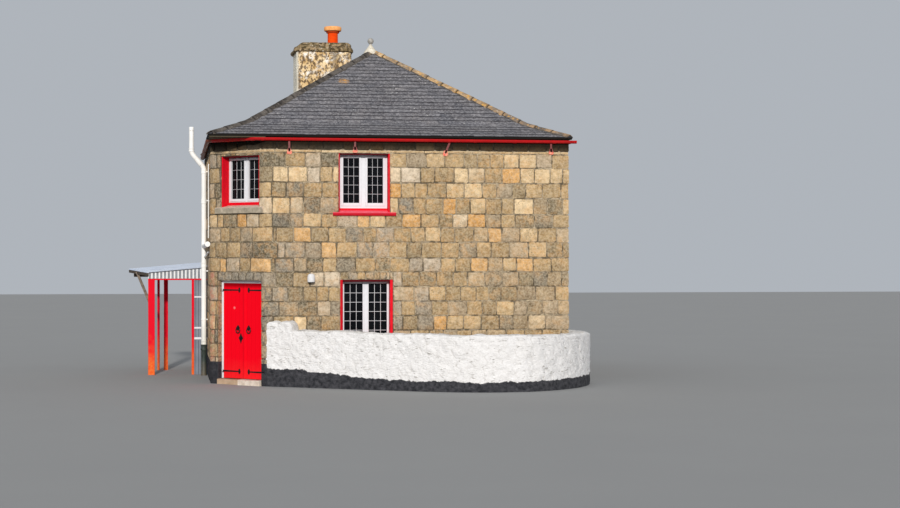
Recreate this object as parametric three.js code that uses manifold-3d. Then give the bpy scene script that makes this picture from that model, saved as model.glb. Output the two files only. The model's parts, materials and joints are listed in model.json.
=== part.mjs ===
// A two-storey stone cottage with a slate pyramid roof and one canted corner.
// Millimetres, +Z up, X to the right along the main face, Y towards the back.
// The origin is the centre of the plan at ground level.
import * as THREE from 'three';
import { mergeVertices } from 'three/addons/utils/BufferGeometryUtils.js';
import Module from 'manifold-3d';

const wasm = await Module();
wasm.setup();

// House shell
const HALF = 3700;              // half the outside width and depth of the house
const CANT = 1080;              // what the canted corner cuts off each of its two faces
const WALL = 450;               // wall thickness
const GAP = 0.3;                // clearance between pieces that rest against each other
const RISE_SPARE = 6500;        // height that the walls are made to before the roof trims them

// Roof: half widths and heights of its top and underside, with flatter eaves
const ROOF_TOP = { eave: [3770, 5135], kick: [3000, 5430], apex: 7320 };
const ROOF_UNDER = { eave: [3770, 5100], kick: [3000, 5360], apex: 7200 };
const SOFFIT = { heights: [5080, 5099.7], edge: 12 };
const HIP_RISE = 58;            // height of the hip tiles above the slates
const HIP_HALF = 105;           // half the width of the hip tiles
const HIP_FOOT = 3730;          // where the hip tiles stop above the eaves

// Floors
const GROUND_FLOOR = [0, 150];
const UPPER_FLOOR = [2650, 2870];

// Windows: centre along the wall, width, height where sill and frame meet, head, and depth of the sill's front
const REVEAL = 200;
const FRAME_DEPTH = 45;
const GLASS = 6;
const FRONT_UPPER = { at: -592, width: 1063, sill: 3600, head: 4776, sillFront: 110 };
const FRONT_LOWER = { at: -545, width: 1092, sill: 860, head: 2176, sillFront: 110 };
const CORNER_UPPER = { at: 60, width: 1060, sill: 3710, head: 4730, sillFront: 170 };
const SIDE_AT = 0;              // windows on the unseen walls stand on their middle
const BACK_AT = -1500;
const LINING = 26;              // painted lining between the stone and the frame
const STILE = 80;               // outer members of a frame
const MULLION = 150;            // where the two casements meet
const RAIL = 90;
const PANE = { inset: 20, back: 20, edge: 60 };
const SILL = { under: 62, nose: 50, rise: 8, beyond: 120, out: 70 };

// Entrance in the canted corner
const DOOR = { at: 45, width: 1206, head: 2155 };
const THRESHOLD = { top: 115, out: 60, depth: 330 };
const DOOR_SETBACK = 120;       // from the wall face to the face of the leaves
const JAMB = 45;
const HEAD_JAMB = 55;
const LEAF_THICK = 36;
const LEAF_CLEAR = 5;           // between a leaf and its frame
const LEAF_FOOT = 8;            // between a leaf and the threshold
const MEETING_GAP = 5.5;
const MEETING_BEVEL = 4;
const FRAME_THICK = 80;
const HINGE_HEIGHTS = [268, 1954];
const PIN = { radius: 5, out: 14, aside: 2, past: 8 };
const STRAP = { length: 425, height: 34, thick: 5, from: 22, joggle: 8 };
const EYE = { outer: 10, hole: 5.3, height: 34, arm: 4, clear: 1.5 };
const BRACKET = { height: 14, reach: 30, clear: 0.4 };

// Side doorway under the porch
const SIDE_DOOR = { at: 1150, width: 900, head: 2060, frame: 60, thick: 70, recess: 15 };

// Chimney: a slab for a cap, with a crown that narrows as it rises
const STACK = { x: [-1683, -400], y: [600, 1850], top: 7350, corner: 90 };
const CAP = { beyond: 45, slab: 90, crown: 160, shoulder: 175 };
const POT = { x: -797, y: 1200, body: 120, rim: 202, wall: 24, height: 410, flare: 130 };

// Finial on the apex
const FINIAL = { x: -45, saddle: 180, foot: 7300, stem: [38, 30], neck: 7470, ball: 70, centre: 7545 };

// Gutters: the run across the corner hangs farther out than the others
const GUTTER = { radius: 50, wall: 6, top: 5068, off: 0.5, past: 165, cornerOff: 141, shortBack: 150, shortRight: 120 };

// Lean-to porch on the left wall
const PORCH = { front: 220, back: 1950, out: 1330 };
const PORCH_ROOF = { wall: 2430, fallOut: 0.0896, fallFront: 0.0525, from: 200, thick: 35 };
const PORCH_PLAN = [[-5050, 150], [-3703, 150], [-3703, 2150], [-5505, 2150]];
const PORCH_BEAM = [2125, 2170];
const POST = { wide: 150, deep: 100, slim: 58 };
const SLIM_POST = -4065;
const BRACE = { from: [-5010, 270, 1660], to: [-5310, 1380, 2330], wide: 42, deep: 65 };
const BACK_BEAM = { left: -5380, foot: 2180 };
const BACK_POSTS = [[-4840, 60], [-4690, 100], [-3800, 90]];     // left side and width
const INFILL = { thick: 22, above: 30 };
const SIDE_PANEL = { behind: 10, thick: 24 };

// Soil pipe beside the porch, and its branch along the wall
const PIPE = { radius: 55, x: -3800, y: -110, out: -4072, foot: 690, bend: [4640, 4960], top: 5540 };
const PIPE_CLIPS = { heights: [1250, 2480, 3900], deep: 40, high: 50 };
const BRANCH = { radius: 50, from: 2885, to: [-3762, -2395, 2912] };

// Lamp on the main face
const LAMP = { x: -1695, z: 2190, out: 105, radius: 78, low: -90, high: 110, arm: 20, plate: [45, 30] };

// Garden wall: its outer face in plan, from the fold of the corner round to the right wall
const GARDEN_LINE = [
  [-2610, -3703], [-2110, -4020], [669, -5740], [2213, -5990], [3270, -5420],
  [3949, -4444], [4130, -3380], [3703, -2350],
];
const GARDEN = { thick: 320, start: 1165, end: 1070, raised: 1365 };

const paint = (color, roughness = 0.6, metalness = 0) =>
  new THREE.MeshStandardMaterial({ color, roughness, metalness });
const MATERIAL = {
  stone: paint(0x8d8068, 0.92),
  slate: paint(0x4a4c55, 0.75),
  hip: paint(0x6a6358, 0.9),
  render: paint(0xa89a7c, 0.95),
  clay: paint(0xc2462a, 0.8),
  mortar: paint(0xa8a8a2, 0.85),
  red: paint(0xd40f24, 0.5),
  white: paint(0xeeeeea, 0.45),
  glass: paint(0x14181c, 0.08),
  boards: paint(0x8a8378, 0.8),
  sheet: paint(0xb4bfd0, 0.45, 0.5),
  whitewash: paint(0xeceae4, 0.9),
  sill: paint(0xa39985, 0.9),
  lowerPipe: paint(0x1c2420, 0.5),
};

const cottage = new THREE.Group();

// Closed shapes

/** A three.js geometry as a closed solid with shared corners. */
function solid(geometry) {
  const bare = geometry.clone();
  bare.deleteAttribute('normal');
  bare.deleteAttribute('uv');
  const merged = mergeVertices(bare, 1e-3);
  return new wasm.Manifold(new wasm.Mesh({
    numProp: 3,
    vertProperties: new Float32Array(merged.attributes.position.array),
    triVerts: new Uint32Array(merged.index.array),
  }));
}

/** The surface of a solid, as a three.js geometry. */
function surface(body) {
  const mesh = body.getMesh();
  const geometry = new THREE.BufferGeometry();
  geometry.setAttribute('position', new THREE.BufferAttribute(new Float32Array(mesh.vertProperties), 3));
  geometry.setIndex(Array.from(mesh.triVerts));
  return geometry;
}

/** Adds one named piece to a group. */
function add(name, body, material, group = cottage) {
  const geometry = body.isBufferGeometry ? body : surface(body);
  const mesh = new THREE.Mesh(geometry, material);
  mesh.name = name;
  group.add(mesh);
  return mesh;
}

/** A box from its low and high values along each axis. */
function box(x, y, z) {
  const geometry = new THREE.BoxGeometry(x[1] - x[0], y[1] - y[0], z[1] - z[0]);
  return geometry.translate((x[0] + x[1]) / 2, (y[0] + y[1]) / 2, (z[0] + z[1]) / 2);
}

/** An upright prism on a plan outline, with holes in plan where they are given. */
function prism(plan, low, high, holes = []) {
  const shape = new THREE.Shape(plan.map(([x, y]) => new THREE.Vector2(x, y)));
  for (const hole of holes) shape.holes.push(new THREE.Path(hole.map(([x, y]) => new THREE.Vector2(x, y))));
  return new THREE.ExtrudeGeometry(shape, { depth: high - low, bevelEnabled: false }).translate(0, 0, low);
}

/** A section drawn as Y and Z, carried along X from one value to another. */
function alongX(section, from, to) {
  const shape = new THREE.Shape(section.map(([y, z]) => new THREE.Vector2(y, z)));
  const run = new THREE.ExtrudeGeometry(shape, { depth: to - from, bevelEnabled: false });
  return solid(run.applyMatrix4(new THREE.Matrix4().set(0, 0, 1, from, 1, 0, 0, 0, 0, 1, 0, 0, 0, 0, 0, 1)));
}

/** A round rod between two points. */
function rod(from, to, radius, sides = 12) {
  const [a, b] = [new THREE.Vector3(...from), new THREE.Vector3(...to)];
  const along = b.clone().sub(a);
  const turn = new THREE.Quaternion().setFromUnitVectors(new THREE.Vector3(0, 1, 0), along.clone().normalize());
  const middle = a.clone().add(b).multiplyScalar(0.5);
  return solid(new THREE.CylinderGeometry(radius, radius, along.length(), sides)
    .applyQuaternion(turn).translate(...middle));
}

/** A square bar between two points. */
function bar(from, to, wide, deep) {
  const [a, b] = [new THREE.Vector3(...from), new THREE.Vector3(...to)];
  const along = b.clone().sub(a);
  const turn = new THREE.Quaternion().setFromUnitVectors(new THREE.Vector3(0, 0, 1), along.clone().normalize());
  const middle = a.clone().add(b).multiplyScalar(0.5);
  return new THREE.BoxGeometry(wide, deep, along.length()).applyQuaternion(turn).translate(...middle);
}

/** A turned solid about an upright line at x, y. */
function turned(profile, x, y, sides = 24) {
  const points = profile.map(([r, z]) => new THREE.Vector2(r, z));
  return new THREE.LatheGeometry(points, sides).rotateX(Math.PI / 2).translate(x, y, 0);
}

/** Two values with the lower one first. */
const sorted = (a, b) => [Math.min(a, b), Math.max(a, b)];

/** A rectangle as four plan points. */
const rectangle = (x0, x1, y0, y1) => [[x0, y0], [x1, y0], [x1, y1], [x0, y1]];

/** A square pyramid with flatter eaves: everything under one of the two roof faces. */
function underRoof(face, lift, reach, foot) {
  const [eaveHalf, eaveZ] = face.eave;
  const [kickHalf, kickZ] = face.kick;
  const slope = (kickZ - eaveZ) / (eaveHalf - kickHalf);
  const rim = eaveZ - slope * (reach - eaveHalf) + lift;
  const corner = Math.SQRT2;
  const profile = [[0, foot], [reach * corner, foot], [reach * corner, rim],
    [kickHalf * corner, kickZ + lift], [0, face.apex + lift]];
  const points = profile.map(([r, z]) => new THREE.Vector2(r, z));
  return solid(new THREE.LatheGeometry(points, 4).rotateX(Math.PI / 2).rotateZ(Math.PI / 4));
}

/** Turns plan points about the centre by quarter turns. */
function quarterTurned(plan, turns) {
  const c = Math.round(Math.cos(turns * Math.PI / 2));
  const s = Math.round(Math.sin(turns * Math.PI / 2));
  return plan.map(([x, y]) => [c * x - s * y, s * x + c * y]);
}

// Plan of the walls
const inner = HALF - WALL;
const fold = HALF - CANT;                                  // where the canted face starts, along each face
const innerFold = fold - WALL * Math.tan(Math.PI / 8);
const cornerPlan = [[-fold, -HALF], [-innerFold, -inner], [-inner, -innerFold], [-HALF, -fold]];
const frontPlan = [[-fold, -HALF], [HALF, -HALF], [HALF, -inner], [-innerFold, -inner]];
const leftPlan = [[-HALF, -fold], [-inner, -innerFold], [-inner, inner], [-HALF, inner]];
const rightPlan = rectangle(inner, HALF, -inner, inner);
const backPlan = rectangle(-HALF, HALF, inner, HALF);

// The canted corner has axes of its own: X along its face, Y into the house
const cornerMiddle = -(HALF + fold) / 2;
const corner = new THREE.Group();
corner.position.set(cornerMiddle, cornerMiddle, 0);
corner.rotation.z = -Math.PI / 4;
cottage.add(corner);
const inCorner = (geometry) => geometry.rotateZ(-Math.PI / 4).translate(cornerMiddle, cornerMiddle, 0);
const cornerHalf = CANT / Math.SQRT2;

/** The space of a window opening in a wall whose face looks along -Y at y = face. */
const holeFor = (w, face) =>
  box([w.at - w.width / 2, w.at + w.width / 2], [face - 200, face + WALL + 200], [w.sill - SILL.under, w.head]);

const doorHole = inCorner(box(
  [DOOR.at - DOOR.width / 2, DOOR.at + DOOR.width / 2], [-200, WALL + 300], [-10, DOOR.head]));
const cornerWindowHole = inCorner(holeFor(CORNER_UPPER, 0));

/** Turns a shape on the front wall round to another wall by quarter turns. */
const onWall = (geometry, turns) => geometry.rotateZ(turns * Math.PI / 2);
const unseenWindows = [
  { name: 'window_right_upper', turns: 1, ...FRONT_UPPER, at: SIDE_AT },
  { name: 'window_right_lower', turns: 1, ...FRONT_LOWER, at: SIDE_AT },
  { name: 'window_back_upper', turns: 2, ...FRONT_UPPER, at: BACK_AT },
  { name: 'window_back_lower', turns: 2, ...FRONT_LOWER, at: BACK_AT },
];
const sideDoorHole = onWall(box(
  [-SIDE_DOOR.at - SIDE_DOOR.width / 2, -SIDE_DOOR.at + SIDE_DOOR.width / 2],
  [-HALF - 200, -inner + 200], [THRESHOLD.top, SIDE_DOOR.head]), 3);

function makeWalls() {
  const ceiling = underRoof(ROOF_UNDER, -GAP, HALF + 400, -100);
  const wall = (plan, holes, low = 0) => holes.reduce(
    (body, hole) => body.subtract(solid(hole)), solid(prism(plan, low, RISE_SPARE)).intersect(ceiling));
  const holesOf = (turns) => unseenWindows.filter((w) => w.turns === turns)
    .map((w) => onWall(holeFor(w, -HALF), turns));

  add('front_wall', wall(frontPlan, [holeFor(FRONT_UPPER, -HALF), holeFor(FRONT_LOWER, -HALF), doorHole]),
    MATERIAL.stone);
  add('right_wall', wall(rightPlan, holesOf(1)), MATERIAL.stone);
  add('back_wall', wall(backPlan, holesOf(2)), MATERIAL.stone);
  add('left_wall', wall(leftPlan, [...holesOf(3), sideDoorHole]), MATERIAL.stone);

  const clear = GAP / Math.SQRT2;
  const [a, b, c, d] = cornerPlan;
  const shrunk = [[a[0] - clear, a[1] + clear], [b[0] - clear, b[1] + clear],
    [c[0] + clear, c[1] - clear], [d[0] + clear, d[1] - clear]];
  const whole = wall(shrunk, [cornerWindowHole]);
  const above = solid(prism(rectangle(-HALF, 0, -HALF, 0), DOOR.head, RISE_SPARE));
  add('corner_wall_over_door', whole.intersect(above), MATERIAL.stone);
  const leftOfDoor = solid(inCorner(box(
    [-cornerHalf - 400, DOOR.at - DOOR.width / 2], [-100, WALL + 200], [0, DOOR.head])));
  add('corner_pier_left', whole.intersect(leftOfDoor), MATERIAL.stone);
}

function makeFloors() {
  const room = [[-innerFold, -inner], [inner, -inner], [inner, inner], [-inner, inner], [-inner, -innerFold]]
    .map(([x, y]) => [x * (1 - GAP / inner), y * (1 - GAP / inner)]);
  const flue = rectangle(STACK.x[0] - GAP, STACK.x[1] + GAP, STACK.y[0] - GAP, STACK.y[1] + GAP);
  add('ground_floor', prism(room, ...GROUND_FLOOR), MATERIAL.boards);
  add('upper_floor', prism(room, ...UPPER_FLOOR, [flue]), MATERIAL.boards);
}

/** The plan of the stack, with its corners cut. */
function stackPlan(grow = 0, cut = STACK.corner) {
  const [x0, x1] = [STACK.x[0] - grow, STACK.x[1] + grow];
  const [y0, y1] = [STACK.y[0] - grow, STACK.y[1] + grow];
  return [[x0 + cut, y0], [x1 - cut, y0], [x1, y0 + cut], [x1, y1 - cut],
    [x1 - cut, y1], [x0 + cut, y1], [x0, y1 - cut], [x0, y0 + cut]];
}

function makeRoof() {
  const shell = underRoof(ROOF_TOP, 0, ROOF_TOP.eave[0], 4900)
    .subtract(underRoof(ROOF_UNDER, 0, HALF + 300, 4700))
    .subtract(solid(prism(stackPlan(GAP), 0, 9000)));
  const half = HALF + 500;
  const sector = [[0, -0.22], [-half, -half - 0.22], [half, -half - 0.22]];
  ['roof_front', 'roof_right', 'roof_back', 'roof_left'].forEach((name, turns) => {
    add(name, shell.intersect(solid(prism(quarterTurned(sector, turns), 4000, 9000))), MATERIAL.slate);
  });

  const ridge = (lift, grow) => {
    const diagonal = (turn) => solid(new THREE.BoxGeometry(2 * Math.SQRT2 * HIP_FOOT, 2 * (HIP_HALF + grow), 8000)
      .rotateZ(Math.PI / 4 + turn * Math.PI / 2).translate(0, 0, 6000));
    return underRoof(ROOF_TOP, lift, HIP_FOOT, 4900).intersect(diagonal(0).add(diagonal(1)));
  };
  const slates = underRoof(ROOF_TOP, GAP, HALF + 300, 4700);
  const capping = ridge(HIP_RISE, 0).subtract(slates).subtract(solid(prism(stackPlan(GAP), 0, 9000)));
  capping.decompose().sort((a, b) => b.volume() - a.volume())
    .forEach((arm, i) => add(i ? 'hip_tiles_behind_chimney' : 'hip_tiles', arm, MATERIAL.hip));

  const { x, saddle, foot, stem, neck, ball, centre } = FINIAL;
  const diagonal = ball * Math.SQRT1_2;
  const knob = solid(turned([[0, foot - 200], [saddle, foot - 200], [saddle * 0.95, foot - 20],
    [saddle * 0.55, foot + 75], [stem[0], foot + 130], [stem[1], neck], [diagonal, centre - diagonal],
    [ball, centre], [diagonal, centre + diagonal], [0, centre + ball]], x, 0, 16));
  add('finial', knob.subtract(ridge(HIP_RISE + GAP, GAP)).subtract(slates), MATERIAL.mortar);

  const rim = ROOF_TOP.eave[0] - SOFFIT.edge;
  const soffit = [[-rim, -rim], [-fold - 2, -rim], [-fold - 0.5, -HALF - 0.5], [-HALF - 0.5, -fold - 0.5],
    [-rim, -fold - 2]];
  add('corner_soffit', prism(soffit, ...SOFFIT.heights), MATERIAL.boards);
}

function makeChimney() {
  add('chimney_stack', prism(stackPlan(), GROUND_FLOOR[1], STACK.top), MATERIAL.render);
  const level = (grow, z) => solid(prism(stackPlan(grow, STACK.corner + 20), z - 1, z));
  const top = STACK.top + CAP.slab;
  const foot = top + CAP.crown;
  const slab = solid(prism(stackPlan(CAP.beyond, STACK.corner + 20), STACK.top, top));
  const crown = wasm.Manifold.hull([level(0, top), level(-CAP.shoulder, foot)]);
  add('chimney_cap', slab.add(crown), MATERIAL.render);
  const { body, rim, wall, height, flare } = POT;
  const band = foot + height - flare;
  add('chimney_pot', turned([
    [body - wall, foot + GAP], [body + 8, foot + GAP], [body, foot + 60], [body - 4, band - 40],
    [rim - 18, band], [rim, band + 25], [rim, foot + height - 20],
    [rim - 14, foot + height], [body - wall, foot + height], [body - wall, foot + GAP]], POT.x, POT.y, 20),
  MATERIAL.clay);
}

/** A half-round channel of one length, open upwards, with its back on the line y = 0. */
function channel(from, to, endStop = 0) {
  const r = GUTTER.radius;
  const arc = (radius, start, end, turns) => Array.from({ length: turns + 1 }, (_, i) => {
    const angle = start + (end - start) * i / turns;
    return [-r + radius * Math.cos(angle), radius * Math.sin(angle)];
  });
  const outer = arc(r, Math.PI, 2 * Math.PI, 10);
  const body = alongX([...outer, ...arc(r - GUTTER.wall, 2 * Math.PI, Math.PI, 10)], from, to);
  return endStop ? body.add(alongX(outer, to - endStop, to)) : body;
}

/** A gutter run placed with its back on a wall line and turned to that wall. */
function placed(body, turn, x, y) {
  return body.rotate([0, 0, THREE.MathUtils.radToDeg(turn)]).translate([x, y, GUTTER.top]);
}

function makeGutters() {
  const { radius, off, past, wall, cornerOff, shortBack, shortRight } = GUTTER;
  // The middle lines y = -HALF - off - radius and x + y = constant meet here
  const middleLine = HALF + off + radius;
  const bend = (cornerOff + radius) * Math.SQRT2 - 2 * cornerMiddle - middleLine;
  const mitre = radius * Math.tan(Math.PI / 8);
  const front = placed(channel(-bend - mitre, HALF + past, wall), 0, 0, -HALF - off);
  const across = cornerMiddle - cornerOff / Math.SQRT2;
  const half = (middleLine - bend) * Math.SQRT1_2 + mitre;
  const angled = placed(channel(-half, half), -Math.PI / 4, across, across);
  const left = placed(channel(-HALF, bend + mitre), -Math.PI / 2, -HALF - off, 0);
  add('gutter_front_and_left', front.add(angled).add(left), MATERIAL.red);
  const back = placed(channel(-HALF - off - 2 * radius, HALF - shortBack), Math.PI, 0, HALF + off);
  const right = placed(channel(-HALF + shortRight, HALF + off + 2 * radius), Math.PI / 2, HALF + off, 0);
  add('gutter_back_and_right', back.add(right), MATERIAL.red);
}

/** A frame of two casements, its face at y = face. */
function windowFrame(w, face) {
  const x0 = w.at - w.width / 2 + LINING;
  const x1 = w.at + w.width / 2 - LINING;
  const [z0, z1] = [w.sill + LINING, w.head - LINING];
  const y = [face + REVEAL, face + REVEAL + FRAME_DEPTH];
  const light = (a, b) => solid(box([a, b], [y[0] - 10, y[1] + 10], [z0 + RAIL, z1 - STILE]));
  const x = [w.at - w.width / 2 + GAP, w.at + w.width / 2 - GAP];
  return solid(box(x, y, [w.sill - SILL.under + GAP, w.head - GAP]))
    .subtract(light(x0 + STILE, w.at - MULLION / 2))
    .subtract(light(w.at + MULLION / 2, x1 - STILE));
}

/** The pane behind a frame. */
function windowGlass(w, face) {
  const y = face + REVEAL + FRAME_DEPTH + GAP;
  const inset = LINING + PANE.inset;
  return box([w.at - w.width / 2 + inset, w.at + w.width / 2 - inset], [y, y + GLASS],
    [w.sill + inset, w.head - inset]);
}

/** The sill below a window: it slopes from the frame out past the wall, and its ends pass the opening. */
function windowSill(w, face) {
  const nose = face - SILL.out;
  const back = face + REVEAL - GAP;
  const slope = (SILL.nose + SILL.rise) / (back - nose);
  const top = (y) => w.sill - SILL.nose + slope * (y - nose);
  const foot = w.sill - w.sillFront;
  const bottom = w.sill - SILL.under + GAP;
  const across = (section, half) => alongX(section, w.at - half, w.at + half);
  const outside = across([[nose, foot], [face - GAP, foot], [face - GAP, top(face - GAP)], [nose, top(nose)]],
    w.width / 2 + SILL.beyond);
  const within = across([[nose + 1, bottom], [back, bottom], [back, top(back)], [nose + 1, top(nose + 1)]],
    w.width / 2 - GAP);
  return outside.add(within);
}

function makeWindows() {
  const seen = [['window_front_upper', FRONT_UPPER, -HALF, cottage, MATERIAL.red],
    ['window_front_lower', FRONT_LOWER, -HALF, cottage, MATERIAL.red],
    ['window_corner_upper', CORNER_UPPER, 0, corner, MATERIAL.sill]];
  for (const [name, w, face, group, sillMaterial] of seen) {
    add(`${name}_frame`, windowFrame(w, face), MATERIAL.white, group);
    add(`${name}_glass`, windowGlass(w, face), MATERIAL.glass, group);
    add(`${name}_sill`, windowSill(w, face), sillMaterial, group);
  }
  for (const w of unseenWindows) {
    const inner = -HALF + REVEAL;
    const { back, edge } = PANE;
    const pane = box([w.at - w.width / 2 + edge, w.at + w.width / 2 - edge],
      [inner + back, inner + back + GLASS], [w.sill + edge, w.head - edge]);
    const link = box([w.at - w.width / 2 + 1, w.at + w.width / 2 - 1],
      [inner - 2, inner + back], [w.sill - SILL.under / 2, w.sill]);
    const whole = windowFrame(w, -HALF).add(solid(pane)).add(solid(link)).add(windowSill(w, -HALF));
    const mesh = add(w.name, whole, MATERIAL.white);
    mesh.rotation.z = w.turns * Math.PI / 2;
  }
}

/** One strap hinge on a leaf: the strap, and the eye that drops over the pin. */
function hingeEye(hand, edge, z) {
  const face = DOOR_SETBACK;
  const pinX = edge - hand * PIN.aside;
  const pinY = face - PIN.out;
  const far = edge + hand * STRAP.length;
  const [low, high] = [z - EYE.height / 2, z + EYE.height / 2];
  const strap = solid(box(sorted(edge + hand * STRAP.from, far), [face - STRAP.thick, face + 1],
    [z - STRAP.height / 2, z + STRAP.height / 2]));
  const arm = solid(box(sorted(pinX + hand * (EYE.hole + EYE.clear), edge + hand * (STRAP.from + 5)),
    [pinY - EYE.arm, pinY + EYE.arm], [low, high]));
  const joggle = solid(box(sorted(edge + hand * (STRAP.from - 2), edge + hand * (STRAP.from + STRAP.joggle)),
    [pinY - EYE.arm, face - 1], [low, high]));
  const ring = solid(turned([[EYE.hole, low], [EYE.outer, low], [EYE.outer, high], [EYE.hole, high],
    [EYE.hole, low]], pinX, pinY, 16));
  return strap.add(arm).add(joggle).add(ring);
}

/** One leaf, its hinge edge at x = edge and its free edge at x = free. */
function doorLeaf(hand, edge, free) {
  const face = DOOR_SETBACK;
  const plan = [[edge, face], [free, face], [free - hand * MEETING_BEVEL, face + LEAF_THICK],
    [edge, face + LEAF_THICK]];
  if (hand < 0) plan.reverse();
  const low = THRESHOLD.top + LEAF_FOOT;
  const high = DOOR.head - HEAD_JAMB - LEAF_CLEAR;
  return HINGE_HEIGHTS.reduce((body, z) => body.add(hingeEye(hand, edge, z)), solid(prism(plan, low, high)));
}

/** A pin standing on a bracket that is driven into the jamb. */
function hingePin(hand, jambEdge, edge, z) {
  const pinX = edge - hand * PIN.aside;
  const y = DOOR_SETBACK - PIN.out;
  const low = z - EYE.height / 2 - BRACKET.clear;
  const pin = rod([pinX, y, low - PIN.past], [pinX, y, low + EYE.height + PIN.past], PIN.radius);
  const plate = solid(box(sorted(jambEdge - hand * BRACKET.reach, jambEdge), [y - PIN.radius, DOOR_SETBACK + 1],
    [low - BRACKET.height, low]));
  const arm = solid(box(sorted(jambEdge - hand, pinX), [y - PIN.radius, y + PIN.radius],
    [low - BRACKET.height, low]));
  return pin.add(plate).add(arm);
}

function makeEntrance() {
  const [x0, x1] = [DOOR.at - DOOR.width / 2, DOOR.at + DOOR.width / 2];
  const y = [DOOR_SETBACK, DOOR_SETBACK + FRAME_THICK];
  const outer = box([x0 + GAP, x1 - GAP], y, [THRESHOLD.top + GAP, DOOR.head - GAP]);
  const within = box([x0 + JAMB, x1 - JAMB], [y[0] - 10, y[1] + 10], [0, DOOR.head - HEAD_JAMB]);
  const leftEdge = x0 + JAMB + LEAF_CLEAR;
  const rightEdge = x1 - JAMB - LEAF_CLEAR;
  let frame = solid(outer).subtract(solid(within));
  for (const z of HINGE_HEIGHTS) {
    frame = frame.add(hingePin(1, x0 + JAMB, leftEdge, z)).add(hingePin(-1, x1 - JAMB, rightEdge, z));
  }
  add('door_frame', frame, MATERIAL.white, corner);
  add('door_leaf_left', doorLeaf(1, leftEdge, DOOR.at - MEETING_GAP / 2), MATERIAL.red, corner);
  add('door_leaf_right', doorLeaf(-1, rightEdge, DOOR.at + MEETING_GAP / 2), MATERIAL.red, corner);
  add('threshold', box([x0 + 1, x1 - 1], [-THRESHOLD.out, THRESHOLD.depth], [0, THRESHOLD.top]),
    MATERIAL.sill, corner);
}

function makeSideDoor() {
  const { at, width, head, frame, thick, recess } = SIDE_DOOR;
  const [x0, x1] = [-at - width / 2 + GAP, -at + width / 2 - GAP];
  const face = -HALF + DOOR_SETBACK;
  const whole = solid(box([x0, x1], [face, face + thick], [THRESHOLD.top + GAP, head - GAP]));
  const leaf = solid(box([x0 + frame, x1 - frame], [face - 10, face + recess], [THRESHOLD.top - 10, head - frame]));
  const mesh = add('side_door', whole.subtract(leaf), MATERIAL.red);
  mesh.rotation.z = -Math.PI / 2;
}

/** Height of the porch roof's top over a plan point. */
const porchTop = (x, y) =>
  PORCH_ROOF.wall + PORCH_ROOF.fallOut * (x + HALF) + PORCH_ROOF.fallFront * (y - PORCH_ROOF.from);

/** Everything under the porch roof, lowered by a distance. */
function underPorch(lower) {
  const grown = 3000;
  const slab = new THREE.BoxGeometry(2 * grown, 2 * grown, 6000, 1, 1, 1);
  const place = slab.attributes.position;
  for (let i = 0; i < place.count; i += 1) {
    const x = place.getX(i) - 4500;
    const y = place.getY(i) + 1000;
    const z = place.getZ(i) > 0 ? porchTop(x, y) - lower : -2000;
    place.setXYZ(i, x, y, z);
  }
  return solid(slab);
}

function makePorch() {
  const left = -HALF - PORCH.out;
  const top = underPorch(0);
  const below = underPorch(PORCH_ROOF.thick);
  const trim = underPorch(PORCH_ROOF.thick + GAP);
  add('porch_roof', solid(prism(PORCH_PLAN, 0, 4000)).intersect(top).subtract(below), MATERIAL.sheet);

  const frontY = [PORCH.front, PORCH.front + POST.deep];
  const beam = (x0, x1, y) => solid(box([x0, x1], y, PORCH_BEAM));
  const post = (x0, wide, y) => solid(box([x0, x0 + wide], y, [0, PORCH_BEAM[0] + 1]));
  const brace = solid(bar(BRACE.from, BRACE.to, BRACE.wide, BRACE.deep)).intersect(trim);
  const slimY = [PORCH.front, PORCH.front + POST.slim];
  const frontFrame = post(left, POST.wide, frontY)
    .add(post(SLIM_POST, POST.slim, slimY))
    .add(beam(left, -HALF - GAP, slimY))
    .add(brace);
  add('porch_front_frame', frontFrame, MATERIAL.red);

  const backY = [PORCH.back, PORCH.back + POST.slim];
  const backBeam = solid(box([BACK_BEAM.left, -HALF - GAP], backY, [BACK_BEAM.foot, 3000])).intersect(trim);
  add('porch_back_frame', BACK_POSTS.reduce((body, [x, wide]) =>
    body.add(solid(box([x, x + wide], backY, [0, BACK_BEAM.foot + 1]))), backBeam), MATERIAL.red);

  const infill = solid(box([left, -HALF - GAP], [PORCH.front - INFILL.thick, PORCH.front - GAP],
    [PORCH_BEAM[0] + INFILL.above, 3000])).intersect(trim);
  add('porch_front_infill', infill, MATERIAL.sheet);
  const panelY = PORCH.front + SIDE_PANEL.behind;
  add('porch_side_panel', box([SLIM_POST + POST.slim + GAP, -HALF - GAP], [panelY, panelY + SIDE_PANEL.thick],
    [0, PORCH_BEAM[0] - GAP]), MATERIAL.sheet);
}

function makePipes() {
  const { radius, x, y, out, foot, bend, top } = PIPE;
  const knee = (cx, z) => solid(new THREE.SphereGeometry(radius, 12, 8).rotateX(Math.PI / 2).translate(cx, y, z));
  const clips = PIPE_CLIPS.heights.map((z) => solid(box([x, -HALF - GAP],
    [y - PIPE_CLIPS.deep / 2, y + PIPE_CLIPS.deep / 2], [z - PIPE_CLIPS.high / 2, z + PIPE_CLIPS.high / 2])));
  const parts = [knee(x, bend[0]), rod([x, y, bend[0]], [out, y, bend[1]], radius), knee(out, bend[1]),
    rod([out, y, bend[1]], [out, y, top], radius), rod([x, y, BRANCH.from], BRANCH.to, BRANCH.radius), ...clips];
  add('soil_pipe', parts.reduce((body, piece) => body.add(piece), rod([x, y, foot], [x, y, bend[0]], radius)),
    MATERIAL.white);
  add('soil_pipe_foot', rod([x, y, 0], [x, y, foot - GAP], radius + 6, 16), MATERIAL.lowerPipe);
}

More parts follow.
